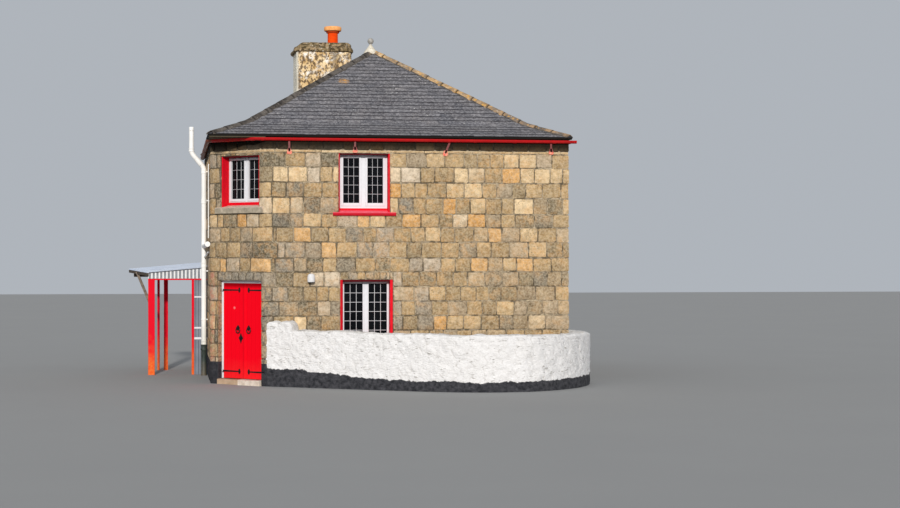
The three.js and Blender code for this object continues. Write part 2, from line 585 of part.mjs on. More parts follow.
/** A hooded shade on an arm and a back plate. */
function makeLamp() {
  const { x, z, out, radius, low, high, arm, plate } = LAMP;
  const [half, deep] = plate;
  const shade = solid(turned([[0, z + low], [radius * 0.7, z + low], [radius, z + low + 45], [radius * 0.9, z + 20],
    [radius * 0.5, z + high - 15], [0, z + high]], x, -HALF - out));
  const bracket = solid(box([x - arm, x + arm], [-HALF - out, -HALF - deep / 2], [z + arm, z + 3 * arm]));
  const back = solid(box([x - half, x + half], [-HALF - deep, -HALF - GAP], [z - half, z + 2 * half]));
  add('wall_lamp', shade.add(bracket).add(back), MATERIAL.white);
}

function makeGardenWall() {
  const count = GARDEN_LINE.length;
  const normals = GARDEN_LINE.map((_, i) => {
    const a = GARDEN_LINE[Math.max(0, i - 1)];
    const b = GARDEN_LINE[Math.min(count - 1, i + 1)];
    const length = Math.hypot(b[0] - a[0], b[1] - a[1]);
    return [-(b[1] - a[1]) / length, (b[0] - a[0]) / length];
  });
  const last = count - 1;
  const [[startX], [, endY]] = [GARDEN_LINE[0], GARDEN_LINE[last]];
  const outerLine = [[startX, -HALF - GAP], ...GARDEN_LINE.slice(1, last), [HALF + GAP, endY]];
  const innerLine = GARDEN_LINE.map(([x, y], i) =>
    [x + normals[i][0] * GARDEN.thick, y + normals[i][1] * GARDEN.thick]);
  innerLine[0] = [startX + GARDEN.thick, -HALF - GAP];
  innerLine[last] = [HALF + GAP, endY - GARDEN.thick];
  const ease = (p, q) => {
    const share = GAP / 2 / Math.hypot(q[0] - p[0], q[1] - p[1]);
    return [p[0] + (q[0] - p[0]) * share, p[1] + (q[1] - p[1]) * share];
  };
  for (let i = 0; i < last; i += 1) {
    const [a, b] = [outerLine[i], outerLine[i + 1]];
    const [c, d] = [innerLine[i + 1], innerLine[i]];
    const plan = [i ? ease(a, b) : a, i + 2 < count ? ease(b, a) : b,
      i + 2 < count ? ease(c, d) : c, i ? ease(d, c) : d];
    const high = i ? GARDEN.start + (GARDEN.end - GARDEN.start) * i / (count - 2) : GARDEN.raised;
    const name = i ? `garden_wall_${i}` : 'garden_wall_raised_end';
    add(name, prism(plan, 0, high), MATERIAL.whitewash);
  }
}

makeWalls();
makeFloors();
makeRoof();
makeChimney();
makeGutters();
makeWindows();
makeEntrance();
makeSideDoor();
makePorch();
makePipes();
makeLamp();
makeGardenWall();

export default cottage;
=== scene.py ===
# %% [markdown]
# # A stone cottage with a slate roof
# The solid model holds every piece at its true place and size. This lesson dresses it: stones,
# slates, paint and ironwork are laid over the solids, piece by piece, and nothing solid moves.
# Lengths are metres, +X runs along the main face, +Y goes to the back and +Z is up.

# %% Load the fixed frame
import json
import math

import bpy
import numpy as np
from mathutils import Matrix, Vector

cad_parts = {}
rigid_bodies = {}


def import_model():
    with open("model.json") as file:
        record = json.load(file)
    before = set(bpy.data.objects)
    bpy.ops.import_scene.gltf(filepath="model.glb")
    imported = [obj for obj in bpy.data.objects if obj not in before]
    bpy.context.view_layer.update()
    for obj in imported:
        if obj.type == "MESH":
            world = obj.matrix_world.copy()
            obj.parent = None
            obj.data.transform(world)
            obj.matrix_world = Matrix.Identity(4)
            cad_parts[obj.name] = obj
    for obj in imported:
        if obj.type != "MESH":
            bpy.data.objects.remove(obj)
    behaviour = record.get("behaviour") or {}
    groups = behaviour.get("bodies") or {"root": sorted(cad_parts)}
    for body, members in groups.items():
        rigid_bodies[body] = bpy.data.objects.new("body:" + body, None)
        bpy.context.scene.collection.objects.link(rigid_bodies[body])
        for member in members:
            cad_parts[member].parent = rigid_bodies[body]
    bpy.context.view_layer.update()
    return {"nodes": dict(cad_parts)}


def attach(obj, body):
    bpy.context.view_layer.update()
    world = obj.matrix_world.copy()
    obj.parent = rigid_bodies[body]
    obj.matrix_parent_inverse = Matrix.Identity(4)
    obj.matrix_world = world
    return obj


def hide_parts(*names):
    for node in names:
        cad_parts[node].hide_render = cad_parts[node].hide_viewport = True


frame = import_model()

scene = bpy.context.scene
nodes = frame["nodes"]

# %% [markdown]
# ## The camera and the light
# The camera stands far in front, a little to the left of the main face and 2.6 m above the floor. A
# long lens keeps the walls nearly parallel. One soft light stands low in front and a little to the
# left, so that the deep windows' frames lie in light, and a pale sky fills the shade.

# %% Camera
EYE = (-4.524, -39.548, 2.62)
TURN_RIGHT = math.radians(9.06)
HORIZON_BELOW_MIDDLE = 4 / 900

camera = bpy.data.objects.new("camera", bpy.data.cameras.new("camera"))
scene.collection.objects.link(camera)
camera.location = EYE
camera.rotation_euler = (math.radians(90), 0, -TURN_RIGHT)
camera.data.lens = 70
camera.data.sensor_width = 36
camera.data.shift_y = HORIZON_BELOW_MIDDLE
camera.data.clip_end = 200
scene.camera = camera

# %% Light and floor
LIGHT_FROM_LEFT = math.radians(8)
LIGHT_HEIGHT = math.radians(17)


def add_sun(name, from_left, height, strength, softness):
    """A sun lamp whose direction is (-sin a cos h, -cos a cos h, sin h) for angles a and h."""
    lamp = bpy.data.lights.new(name, "SUN")
    lamp.energy = strength
    lamp.angle = math.radians(softness)
    flat = math.cos(height)
    towards = Vector((-math.sin(from_left) * flat, -math.cos(from_left) * flat, math.sin(height)))
    holder = bpy.data.objects.new(name, lamp)
    holder.rotation_euler = towards.to_track_quat("Z", "Y").to_euler()
    scene.collection.objects.link(holder)
    return lamp


key = add_sun("key_light", LIGHT_FROM_LEFT, LIGHT_HEIGHT, 3.15, 3)
key.color = (1.0, 0.96, 0.90)

world = bpy.data.worlds.new("pale_sky")
world.use_nodes = True
world.node_tree.nodes["Background"].inputs["Color"].default_value = (0.86, 0.92, 1.0, 1)
world.node_tree.nodes["Background"].inputs["Strength"].default_value = 0.50
scene.world = world
scene.view_settings.view_transform = "Standard"
print("one soft sun and a pale sky")

# %% [markdown]
# ## Meshes from arrays
# Every new piece is worked out as whole arrays of points. One function turns points and faces
# into an object that rides on a body of the model, and a few more make the usual shapes:
# blocks with eased edges, profiles carried along a path, and turned forms.

# %% One mesh object from arrays
pieces_made = []


def make_piece(name, points, faces, material, slot, body="house", stands_for=(), sharp=40, marks=None):
    """Points (n, 3) and faces, a list of arrays with k corners a row, become one object.
    marks holds one number a point under each name, for the materials to read."""
    mesh = bpy.data.meshes.new(name)
    corners = np.concatenate([np.asarray(f).ravel() for f in faces]).astype(np.int32)
    counts = np.concatenate([np.full(len(f), np.shape(f)[1]) for f in faces])
    starts = np.concatenate([[0], np.cumsum(counts)[:-1]]).astype(np.int32)
    mesh.vertices.add(len(points))
    mesh.vertices.foreach_set("co", np.asarray(points, np.float32).ravel())
    mesh.loops.add(len(corners))
    mesh.loops.foreach_set("vertex_index", corners)
    mesh.polygons.add(len(counts))
    mesh.polygons.foreach_set("loop_start", starts)
    mesh.polygons.foreach_set("use_smooth", np.ones(len(counts), bool))
    mesh.update(calc_edges=True)
    for mark, values in (marks or {}).items():
        numbers = mesh.attributes.new(mark, "FLOAT", "POINT").data
        numbers.foreach_set("value", np.asarray(values, np.float32))
    mesh.set_sharp_from_angle(angle=math.radians(sharp))
    mesh.materials.append(material)
    piece = bpy.data.objects.new(name, mesh)
    scene.collection.objects.link(piece)
    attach(piece, body)
    if stands_for:
        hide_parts(*stands_for)
    pieces_made.append(name)
    return piece


def joined(*shapes):
    """Several (points, faces) shapes as one: each shape's face numbers are raised by the points before
    it."""
    points, faces, before = [], [], 0
    for some_points, some_faces in shapes:
        points.append(some_points)
        faces.extend(np.asarray(f) + before for f in some_faces)
        before += len(some_points)
    return np.concatenate(points), faces


# %% Grids, rows of shapes and uneven surfaces
def grid_faces(rows, columns, wrap_rows=False, wrap_columns=False):
    """Four-cornered faces of a grid whose point (r, c) is number r * columns + c, facing row x column."""
    r = np.arange(rows if wrap_rows else rows - 1)
    c = np.arange(columns if wrap_columns else columns - 1)
    r, c = np.meshgrid(r, c, indexing="ij")
    nr, nc = (r + 1) % rows, (c + 1) % columns
    corners = [r * columns + c, r * columns + nc, nr * columns + nc, nr * columns + c]
    return np.stack(corners, -1).reshape(-1, 4)


def tube_faces(m, k):
    """The faces of a tube of m rings with k points each, with one face over each end."""
    ring = np.arange(k)
    return [grid_faces(m, k, wrap_columns=True)[:, ::-1], ring[None], (m - 1) * k + ring[::-1][None]]


def repeated(template_faces, points_each, copies):
    """The faces of a shape for many copies of it, whose points follow each other."""
    shift = (np.arange(copies) * points_each)[:, None, None]
    return [(np.asarray(f)[None] + shift).reshape(-1, np.shape(f)[1]) for f in template_faces]


def ripple(points, length, seed):
    """Smooth unevenness of about -1 to 1: twelve waves sin(2 pi p.w + phase) in drawn directions
    w / length, added and divided by the root of twelve."""
    draw = np.random.default_rng(seed)
    ways = draw.normal(size=(12, 3))
    ways /= np.linalg.norm(ways, axis=1)[:, None] * length * draw.uniform(0.6, 1.5, 12)[:, None]
    phase = draw.uniform(0, 2 * math.pi, 12)
    return np.sin(2 * math.pi * np.asarray(points) @ ways.T + phase).sum(-1) / math.sqrt(12)


def unit(vectors):
    """Vectors brought to length 1."""
    return vectors / np.linalg.norm(vectors, axis=-1, keepdims=True)


def smooth_step(value, low, high):
    """0 below low, 1 above high and 3t^2 - 2t^3 between them."""
    t = np.clip((value - low) / (high - low), 0, 1)
    return t * t * (3 - 2 * t)


# %% Blocks with eased edges
def block_template():
    """A unit block with cut edges: each corner has three points, one on each face that meets there.
    Point 3 * corner + axis lies full out along that axis and is drawn in along the two others."""
    corner = np.array([[x, y, z] for x in (0, 1) for y in (0, 1) for z in (0, 1)])
    number = {tuple(c): 3 * i for i, c in enumerate(corner)}
    quads, triangles = [], [[3 * i, 3 * i + 1, 3 * i + 2] for i in range(8)]
    for a in range(3):
        b, c = (a + 1) % 3, (a + 2) % 3
        for side in (0, 1):
            ring = []
            for pair in ((0, 0), (1, 0), (1, 1), (0, 1)):
                at = [0, 0, 0]
                at[a], at[b], at[c] = side, *pair
                ring.append(number[tuple(at)] + a)
            quads.append(ring)
            for other in (0, 1):
                low, high = [0, 0, 0], [0, 0, 0]
                low[a] = high[a] = side
                low[b] = high[b] = other
                high[c] = 1
                quads.append([number[tuple(low)] + a, number[tuple(high)] + a,
                              number[tuple(high)] + b, number[tuple(low)] + b])
    axis = np.tile(np.arange(3), 8)
    full = np.repeat(corner, 3, axis=0)
    inset = np.ones((24, 3)) - np.eye(3)[axis]
    places = full - 0.5 - 0.2 * inset * (2 * full - 1)

    def outward(faces):
        """Turns round the faces whose normal points at the middle."""
        faces = np.array(faces)
        p = places[faces]
        normal = np.cross(p[:, 1] - p[:, 0], p[:, 2] - p[:, 0])
        inside = (normal * p.mean(1)).sum(1) < 0
        faces[inside] = faces[inside][:, ::-1]
        return faces

    return full, inset * (1 - 2 * full), [outward(quads), outward(triangles)]


BLOCK_FULL, BLOCK_INSET, BLOCK_FACES = block_template()


def blocks(lows, highs, edge=0.003):
    """Blocks from their low and high corners (n, 3), each edge cut back by edge metres."""
    lows, highs = np.atleast_2d(lows).astype(float), np.atleast_2d(highs).astype(float)
    cut = np.minimum(edge, (highs - lows).min(1) * 0.45)[:, None, None]
    points = lows[:, None] + (highs - lows)[:, None] * BLOCK_FULL[None] + BLOCK_INSET[None] * cut
    return points.reshape(-1, 3), repeated(BLOCK_FACES, 24, len(lows))


def bar_between(a, b, wide, deep, edge=0.004):
    """A square bar from point a to point b: a block laid along the way from a to b."""
    a, b = np.asarray(a, float), np.asarray(b, float)
    along = unit(b - a)
    side = unit(np.cross(along, [0, 1, 0]))
    third = np.cross(along, side)
    points, faces = blocks([-wide / 2, -deep / 2, 0], [wide / 2, deep / 2, np.linalg.norm(b - a)], edge)
    return a + points[:, :1] * side + points[:, 1:2] * third + points[:, 2:] * along, faces


# %% Profiles along a path, and turned forms
def carried(profile, path, up=(0, 0, 1), closed=False):
    """A closed outline (k, 2) carried along a path (m, 3). Each station holds
    path + outline_x * side + outline_y * up, with side = way x up, lengthened in the corners."""
    path = np.asarray(path, float)
    profile = np.asarray(profile, float)
    step = np.roll(path, -1, 0) - path
    step /= np.maximum(np.linalg.norm(step, axis=1), 1e-9)[:, None]
    before, after = np.roll(step, 1, 0), step.copy()
    if not closed:
        before[0], after[-1] = step[0], step[-2]
    way = unit(before + after)
    half_cos = np.clip((way * after).sum(1), 0.3, 1)
    up = np.broadcast_to(np.asarray(up, float), path.shape)
    side = unit(np.cross(way, up))
    third = np.cross(side, way)
    in_turn = np.abs(((after - before) * side).sum(1)) > np.abs(((after - before) * third).sum(1))
    wide = np.where(in_turn, 1 / half_cos, 1)[:, None, None]
    tall = np.where(in_turn, 1, 1 / half_cos)[:, None, None]
    points = path[:, None] + (profile[None, :, :1] * side[:, None] * wide
                              + profile[None, :, 1:] * third[:, None] * tall)
    m, k = len(path), len(profile)
    ring = [grid_faces(m, k, wrap_rows=True, wrap_columns=True)[:, ::-1]]
    return points.reshape(-1, 3), ring if closed else tube_faces(m, k)


def circle(radius, sides=16):
    """A round outline."""
    turn = np.linspace(0, 2 * math.pi, sides, endpoint=False)
    return radius * np.stack([np.cos(turn), np.sin(turn)], 1)


def turned(profile, centre, sides=32, ring=False):
    """A profile of (radius, height) turned about an upright line: x = cx + r cos a, y = cy + r sin a.
    It starts and ends on the line, where one point closes it, or is a ring that closes on itself."""
    profile = np.asarray(profile, float)
    body = profile if ring else profile[1:-1]
    turn = np.linspace(0, 2 * math.pi, sides, endpoint=False)
    x = centre[0] + body[:, :1] * np.cos(turn)
    y = centre[1] + body[:, :1] * np.sin(turn)
    z = np.repeat(body[:, 1:], sides, 1)
    points = np.stack([x, y, z], -1).reshape(-1, 3)
    faces = [grid_faces(len(body), sides, wrap_rows=ring, wrap_columns=True)]
    if not ring:
        low, high = len(points), len(points) + 1
        points = np.vstack([points, [[*centre, profile[0, 1]], [*centre, profile[-1, 1]]]])
        i = np.arange(sides)
        last = (len(body) - 1) * sides
        faces += [np.stack([np.full(sides, low), (i + 1) % sides, i], 1),
                  np.stack([np.full(sides, high), last + i, last + (i + 1) % sides], 1)]
    return points, faces


# %% Places on the walls
HALF = 3.7                      # half the width of the house
CANT = 1.08                     # what the canted corner cuts off each face
HAIR = 0.0005                   # the gap left where two pieces would share a face
ROOM_FACE = 0.449               # how far the plaster of the rooms lies behind the outer face
FOLD = HALF - CANT
CORNER = -(HALF + FOLD) / 2
FACES = {"front": (0, (0, -HALF)), "right": (90, (HALF, 0)), "back": (180, (0, HALF)),
         "left": (-90, (-HALF, 0)), "corner": (-45, (CORNER, CORNER))}


def onto(face, points):
    """Wall coordinates to the house's: x along the wall to the right, y into the house, z up.
    X = ox + x cos t - y sin t, Y = oy + x sin t + y cos t, for the wall's turn t and middle (ox, oy)."""
    turn, (ox, oy) = FACES[face]
    c, s = math.cos(math.radians(turn)), math.sin(math.radians(turn))
    p = np.asarray(points, float)
    return np.stack([ox + p[..., 0] * c - p[..., 1] * s, oy + p[..., 0] * s + p[..., 1] * c, p[..., 2]], -1)


def on_wall(face, shape):
    """A (points, faces) shape moved onto a wall."""
    return onto(face, shape[0]), shape[1]


print("shape helpers ready")

# %% [markdown]
# ## Finishes as node networks
# A real surface is never one colour. Four effects come back in many finishes, so each is a node
# group: cloudy mottling, spots of lichen, splashed dirt near the ground, and fine relief. Each
# group reads object coordinates, which stay fixed to the piece, and puts out a mask or a height.

# %% Node helpers
def add_node(tree, kind, inputs=None, **settings):
    """One node with its settings and inputs. An input is a value, or an output to be linked."""
    made = tree.nodes.new("ShaderNode" + kind)
    for name, value in settings.items():
        setattr(made, name, value)
    for name, value in (inputs or {}).items():
        if isinstance(value, bpy.types.NodeSocket):
            tree.links.new(value, made.inputs[name])
        else:
            made.inputs[name].default_value = value
    return made


def math_node(tree, operation, a, b=0.0):
    """One sum, product or comparison of two values."""
    return add_node(tree, "Math", {0: a, 1: b}, operation=operation).outputs[0]


def ranged(tree, value, low, high, to_low=0.0, to_high=1.0):
    """A value stretched from one range to another and held inside it."""
    return add_node(tree, "MapRange", {"Value": value, "From Min": low, "From Max": high,
                                       "To Min": to_low, "To Max": to_high}).outputs[0]


def new_group(name, inputs, outputs):
    """An empty node group with named number or vector inputs and number outputs."""
    group = bpy.data.node_groups.new(name, "ShaderNodeTree")
    for label, value in inputs.items():
        kind = "NodeSocketVector" if value is None else "NodeSocketFloat"
        socket = group.interface.new_socket(label, in_out="INPUT", socket_type=kind)
        if value is not None:
            socket.default_value = value
    for label in outputs:
        group.interface.new_socket(label, in_out="OUTPUT", socket_type="NodeSocketFloat")
    return group, group.nodes.new("NodeGroupInput"), group.nodes.new("NodeGroupOutput")


def use_group(tree, group, **inputs):
    """A group placed in a material, with its own values."""
    made = add_node(tree, "Group", node_tree=group)
    for name, value in inputs.items():
        if isinstance(value, bpy.types.NodeSocket):
            tree.links.new(value, made.inputs[name])
        else:
            made.inputs[name].default_value = value
    return made.outputs[0]


# %% Shared effects
def noise(tree, place, scale, **detail):
    """A smooth random pattern of about 0 to 1."""
    return add_node(tree, "TexNoise", {"Vector": place, "Scale": scale, **detail}).outputs[0]


def make_mottle():
    """Clouds: noise of a given size, stretched about its middle by Contrast."""
    group, given, out = new_group("mottle", {"Vector": None, "Size": 0.1, "Contrast": 3.0}, ["Mask"])
    place, size, contrast = list(given.outputs)[:3]
    scale = math_node(group, "DIVIDE", 1.0, size)
    centred = math_node(group, "SUBTRACT", noise(group, place, scale, Detail=5.0, Roughness=0.6), 0.5)
    spread = math_node(group, "MULTIPLY", centred, contrast)
    mask = add_node(group, "Math", {0: spread, 1: 0.5}, operation="ADD", use_clamp=True).outputs[0]
    group.links.new(mask, out.inputs["Mask"])
    return group


def make_lichen():
    """Round spots with ragged rims: the distance in a Voronoi pattern plus noise, cut at a spot size
    that a slower noise changes, so that some areas hold many and others none."""
    group, given, out = new_group("lichen", {"Vector": None, "Size": 0.05, "Cover": 0.5}, ["Mask"])
    place, size, cover = list(given.outputs)[:3]
    scale = math_node(group, "DIVIDE", 1.0, size)
    cell = add_node(group, "TexVoronoi", {"Vector": place, "Scale": scale}).outputs["Distance"]
    fine = noise(group, place, math_node(group, "MULTIPLY", scale, 4.0))
    ragged = math_node(group, "ADD", cell, math_node(group, "MULTIPLY", fine, 0.35))
    slow = noise(group, place, math_node(group, "MULTIPLY", scale, 0.12))
    reach = math_node(group, "MULTIPLY", slow, cover)
    inside = math_node(group, "SUBTRACT", math_node(group, "ADD", reach, 0.12), ragged)
    group.links.new(ranged(group, inside, 0.0, 0.06), out.inputs["Mask"])
    return group


def make_splash():
    """Dirt thrown up from the ground: 1 at the foot, 0 above Reach, with a ragged upper edge."""
    group, given, out = new_group("splash", {"Vector": None, "Reach": 0.5, "Foot": 0.0}, ["Mask"])
    place, reach, foot = list(given.outputs)[:3]
    height = add_node(group, "SeparateXYZ", {0: place}).outputs[2]
    share = math_node(group, "DIVIDE", math_node(group, "SUBTRACT", height, foot), reach)
    torn = math_node(group, "SUBTRACT", noise(group, place, 6.0, Detail=4.0), 0.5)
    ragged = math_node(group, "ADD", share, torn)
    group.links.new(ranged(group, ragged, 0.0, 1.0, 1.0, 0.0), out.inputs["Mask"])
    return group


def make_relief():
    """A height for a bump: coarse noise and a finer one a sixth of its size, Share of the fine one."""
    group, given, out = new_group("relief", {"Vector": None, "Size": 0.05, "Share": 0.4}, ["Height"])
    place, size, share = list(given.outputs)[:3]
    scale = math_node(group, "DIVIDE", 1.0, size)
    fine = noise(group, place, math_node(group, "MULTIPLY", scale, 6.0), Detail=3.0)
    added = math_node(group, "MULTIPLY", fine, share)
    both = math_node(group, "ADD", noise(group, place, scale, Detail=4.0), added)
    group.links.new(both, out.inputs["Height"])
    return group


MOTTLE, LICHEN, SPLASH, RELIEF = make_mottle(), make_lichen(), make_splash(), make_relief()


# %% A material with its coordinates
class Finish:
    """A material being built: its node tree, its object coordinates and its surface shader."""

    def __init__(self, name, roughness, **plain):
        self.material = bpy.data.materials.new(name)
        self.material.use_nodes = True
        self.tree = self.material.node_tree
        self.shader = self.tree.nodes["Principled BSDF"]
        self.shader.inputs["Roughness"].default_value = roughness
        for label, value in plain.items():
            self.shader.inputs[label.replace("_", " ")].default_value = value
        self.place = add_node(self.tree, "TexCoord").outputs["Object"]

    def mark(self, name):
        """A number that the mesh carries at its points."""
        return add_node(self.tree, "Attribute", attribute_name=name).outputs["Fac"]

    def stretched(self, x, y, z):
        """The object coordinates with another scale along each axis."""
        return add_node(self.tree, "Mapping", {"Vector": self.place, "Scale": (x, y, z)}).outputs[0]

    def xyz(self):
        """The object coordinates as three numbers."""
        return add_node(self.tree, "SeparateXYZ", {0: self.place}).outputs

    def mottle(self, size, contrast=3.0, place=None, by=1):
        """Clouds, times by."""
        place = place or self.place
        return self.times(use_group(self.tree, MOTTLE, Vector=place, Size=size, Contrast=contrast), by)

    def lichen(self, size, cover, place=None, by=1):
        """Spots, times by."""
        place = place or self.place
        return self.times(use_group(self.tree, LICHEN, Vector=place, Size=size, Cover=cover), by)

    def splash(self, reach, foot=0.0, by=1):
        """Dirt from the ground, times by."""
        return self.times(use_group(self.tree, SPLASH, Vector=self.place, Reach=reach, Foot=foot), by)

    def near(self, point, far, close):
        """A spot round a point: 0 beyond the distance far, 1 within close."""
        away = add_node(self.tree, "VectorMath", {0: self.place, 1: point}, operation="DISTANCE")
        return self.ranged(away.outputs["Value"], far, close)

    def mix(self, factor, a, b, blend="MIX"):
        """Colour a, and colour b where the factor is 1."""
        made = add_node(self.tree, "Mix", {0: factor}, data_type="RGBA", blend_type=blend)
        for socket, value in ((made.inputs[6], a), (made.inputs[7], b)):
            if isinstance(value, bpy.types.NodeSocket):
                self.tree.links.new(value, socket)
            else:
                socket.default_value = (*value, 1)
        return made.outputs[2]

    def ranged(self, value, low, high, to_low=0.0, to_high=1.0):
        """A value stretched from one range to another and held inside it."""
        return ranged(self.tree, value, low, high, to_low, to_high)

    def math(self, operation, a, b=0.0):
        """One sum, product or comparison."""
        return math_node(self.tree, operation, a, b)

    def times(self, a, b):
        """The product, and a itself where b is 1."""
        return a if isinstance(b, int) and b == 1 else self.math("MULTIPLY", a, b)

    def finished(self, colour, relief_size=None, depth=0.002, share=0.4, roughness=None, height=None,
                 place=None):
        """Links the colour and a bump of the given depth in metres, and gives the material back."""
        self.tree.links.new(colour, self.shader.inputs["Base Color"])
        if roughness is not None:
            self.tree.links.new(roughness, self.shader.inputs["Roughness"])
        if relief_size:
            height = use_group(self.tree, RELIEF, Vector=place or self.place, Size=relief_size, Share=share)
        if height is not None:
            bump = add_node(self.tree, "Bump", {"Height": height, "Distance": depth, "Strength": 1.0})
            self.tree.links.new(bump.outputs[0], self.shader.inputs["Normal"])
        return self.material


def dress(material, *names):
    """Gives solid pieces of the model a finish; their shape stays as it is."""
    for name in names:
        for slot in nodes[name].material_slots:
            slot.material = material


print("node groups:", [g.name for g in bpy.data.node_groups])

# %% [markdown]
# ## The walls
# The walls are squared blocks of local stone, laid in courses of about 0.30 m with thin recessed
# joints. The solid walls serve as the mortar, and each block is a small pillowed shell of its own
# set into it, because a bump alone would vanish at the corners of the house. Blocks that meet a
# corner run round it. The foot of the wall is painted charcoal, and the rooms are plastered.

# %% Stone, mortar and paint
PLINTH_TOP = 0.46


def painted_foot(finish, colour):
    """Charcoal paint below the top of the plinth, with a brushed edge."""
    height = finish.xyz()[2]
    brushed = finish.math("ADD", height, finish.mottle(0.12, 1.0, by=0.03))
    painted = finish.ranged(brushed, PLINTH_TOP + 0.012, PLINTH_TOP + 0.022, 1.0, 0.0)
    worn = finish.mix(finish.mottle(0.09, 2.4), (0.014, 0.015, 0.020), (0.050, 0.050, 0.058))
    return finish.mix(painted, colour, worn)


def colour_ramp(finish, fac, steps):
    """A colour for each value of a mask, from a list of (value, colour) steps."""
    ramp = add_node(finish.tree, "ValToRGB", {"Fac": fac})
    elements = ramp.color_ramp.elements
    elements.remove(elements[1])
    elements[0].position, elements[0].color = steps[0][0], (*steps[0][1], 1)
    for position, colour in steps[1:]:
        elements.new(position).color = (*colour, 1)
    return ramp.outputs[0]


def filled(finish, x):
    """How far pale mortar fills the joints and covers the edges of the blocks, in patches on the right of
    the front: 0.42 * ranged(x, -2.4, -1.2) * ranged(mottle, 0.45, 0.60)."""
    patches = finish.ranged(finish.mottle(0.16, 3.0), 0.45, 0.60)
    return finish.times(finish.times(finish.ranged(x, -2.4, -1.2), patches), 0.42)


def make_stone():
    """Each block has its own tone from olive grey over buff to cream, and some are ochre. Clouds, rust
    and dark pits lie over it. The edges are dark, or pale where mortar covers them, and a little red
    paint is splashed left of the door. The row under the gutter carries painted shade, nearly black
    just under the gutter."""
    finish = Finish("weathered_stone", 0.9, Specular_IOR_Level=0.25)
    ramp = colour_ramp(finish, finish.mark("tone"), [
        (0.0, (0.165, 0.140, 0.092)), (0.22, (0.277, 0.221, 0.136)), (0.48, (0.455, 0.320, 0.164)),
        (0.70, (0.665, 0.470, 0.250)), (0.90, (0.905, 0.682, 0.408)), (1.0, (0.830, 0.420, 0.110))])
    fresh = finish.math("SUBTRACT", 1.0, finish.times(finish.mark("grey"), 0.50))
    own = add_node(finish.tree, "HueSaturation", {"Saturation": fresh, "Color": ramp}).outputs[0]
    cloudy = finish.mix(finish.mottle(0.10, 4.5, by=0.80), own, (0.56, 0.53, 0.48), "MULTIPLY")
    blotched = finish.mix(finish.mottle(0.48, 5.0, by=0.42), cloudy, (0.62, 0.57, 0.50), "MULTIPLY")
    rust = finish.times(finish.mottle(0.13, 7.0), finish.mottle(0.6, 5.0, by=0.42))
    rusty = finish.mix(rust, blotched, (0.72, 0.40, 0.15))
    pit = finish.lichen(0.042, 0.56, finish.stretched(1.2, 1.2, 1.0), by=0.52)
    pits = finish.mix(pit, rusty, (0.095, 0.074, 0.046))
    pale = finish.mix(finish.mottle(0.040, 7.0, by=0.24), pits, (0.90, 0.77, 0.58))
    ragged = finish.times(finish.mark("edge"), finish.ranged(finish.mottle(0.06, 3.5), 0, 1, 0.60, 1.35))
    x, y, z = finish.xyz()
    rim = finish.mix(filled(finish, x), (0.058, 0.044, 0.027), (0.56, 0.44, 0.30))
    edged = finish.mix(finish.times(finish.ranged(ragged, 0.35, 0.95), 0.85), pale, rim)
    beside = finish.times(finish.ranged(x, -3.60, -3.66), finish.ranged(y, -2.45, -2.55))
    splash = finish.times(beside, finish.times(finish.ranged(z, 2.36, 2.28), finish.mottle(0.12, 6.0)))
    painted = finish.mix(finish.times(splash, 0.50), edged, (0.74, 0.24, 0.17))
    # Painted shade: the frieze blocks are darkened, most of all in their top few centimetres under the
    # gutter.
    line = finish.math("ADD", z, finish.mottle(0.08, 3.0, by=0.03))
    body = finish.ranged(z, 4.86, 4.95, 0.88, 0.995)
    under = finish.ranged(line, 4.945, 4.985)
    soot = finish.times(finish.mark("soot"), finish.math("MAXIMUM", body, under))
    shaded = finish.mix(soot, painted, (0.035, 0.027, 0.015), "MULTIPLY")
    return finish.finished(painted_foot(finish, shaded), 0.030, 0.018, 0.6)


def make_mortar():
    """Sandy mortar outside, paler where it was pointed again and nearly black with painted shade in the row
    under the gutter, and white plaster where the point lies inside the rooms: |x| and |y| below the
    walls' inner face."""
    finish = Finish("mortar_and_plaster", 0.95)
    sandy = finish.mix(finish.mottle(0.06, 2.5), (0.070, 0.054, 0.033), (0.17, 0.135, 0.088))
    repointed = finish.times(finish.ranged(finish.mottle(0.55, 5.0), 0.50, 0.75), finish.mottle(0.05, 3.0))
    sandy = finish.mix(repointed, sandy, (0.50, 0.41, 0.28))
    x, y, z = finish.xyz()
    sandy = finish.mix(filled(finish, x), sandy, (0.56, 0.45, 0.31))
    # Painted shade: above z 4.845 the mortar is darkened like the frieze under the gutter.
    sandy = finish.mix(finish.ranged(z, 4.845, 4.875), sandy, (0.08, 0.065, 0.045), "MULTIPLY")
    within = [finish.math("LESS_THAN", finish.math("ABSOLUTE", along), HALF - ROOM_FACE) for along in (x, y)]
    # The wall across the corner is inside where x + y is more than the corner's inner face
    across = finish.math("GREATER_THAN", finish.math("ADD", x, y), 2 * CORNER + ROOM_FACE * math.sqrt(2))
    inside = finish.times(finish.times(within[0], within[1]), across)
    plaster = finish.mix(finish.mottle(0.6, 1.5), (0.70, 0.68, 0.63), (0.78, 0.76, 0.71))
    return finish.finished(finish.mix(inside, painted_foot(finish, sandy), plaster), 0.02, 0.004)


STONE, MORTAR = make_stone(), make_mortar()
dress(MORTAR, "front_wall", "right_wall", "back_wall", "left_wall", "corner_wall_over_door",
      "corner_pier_left")

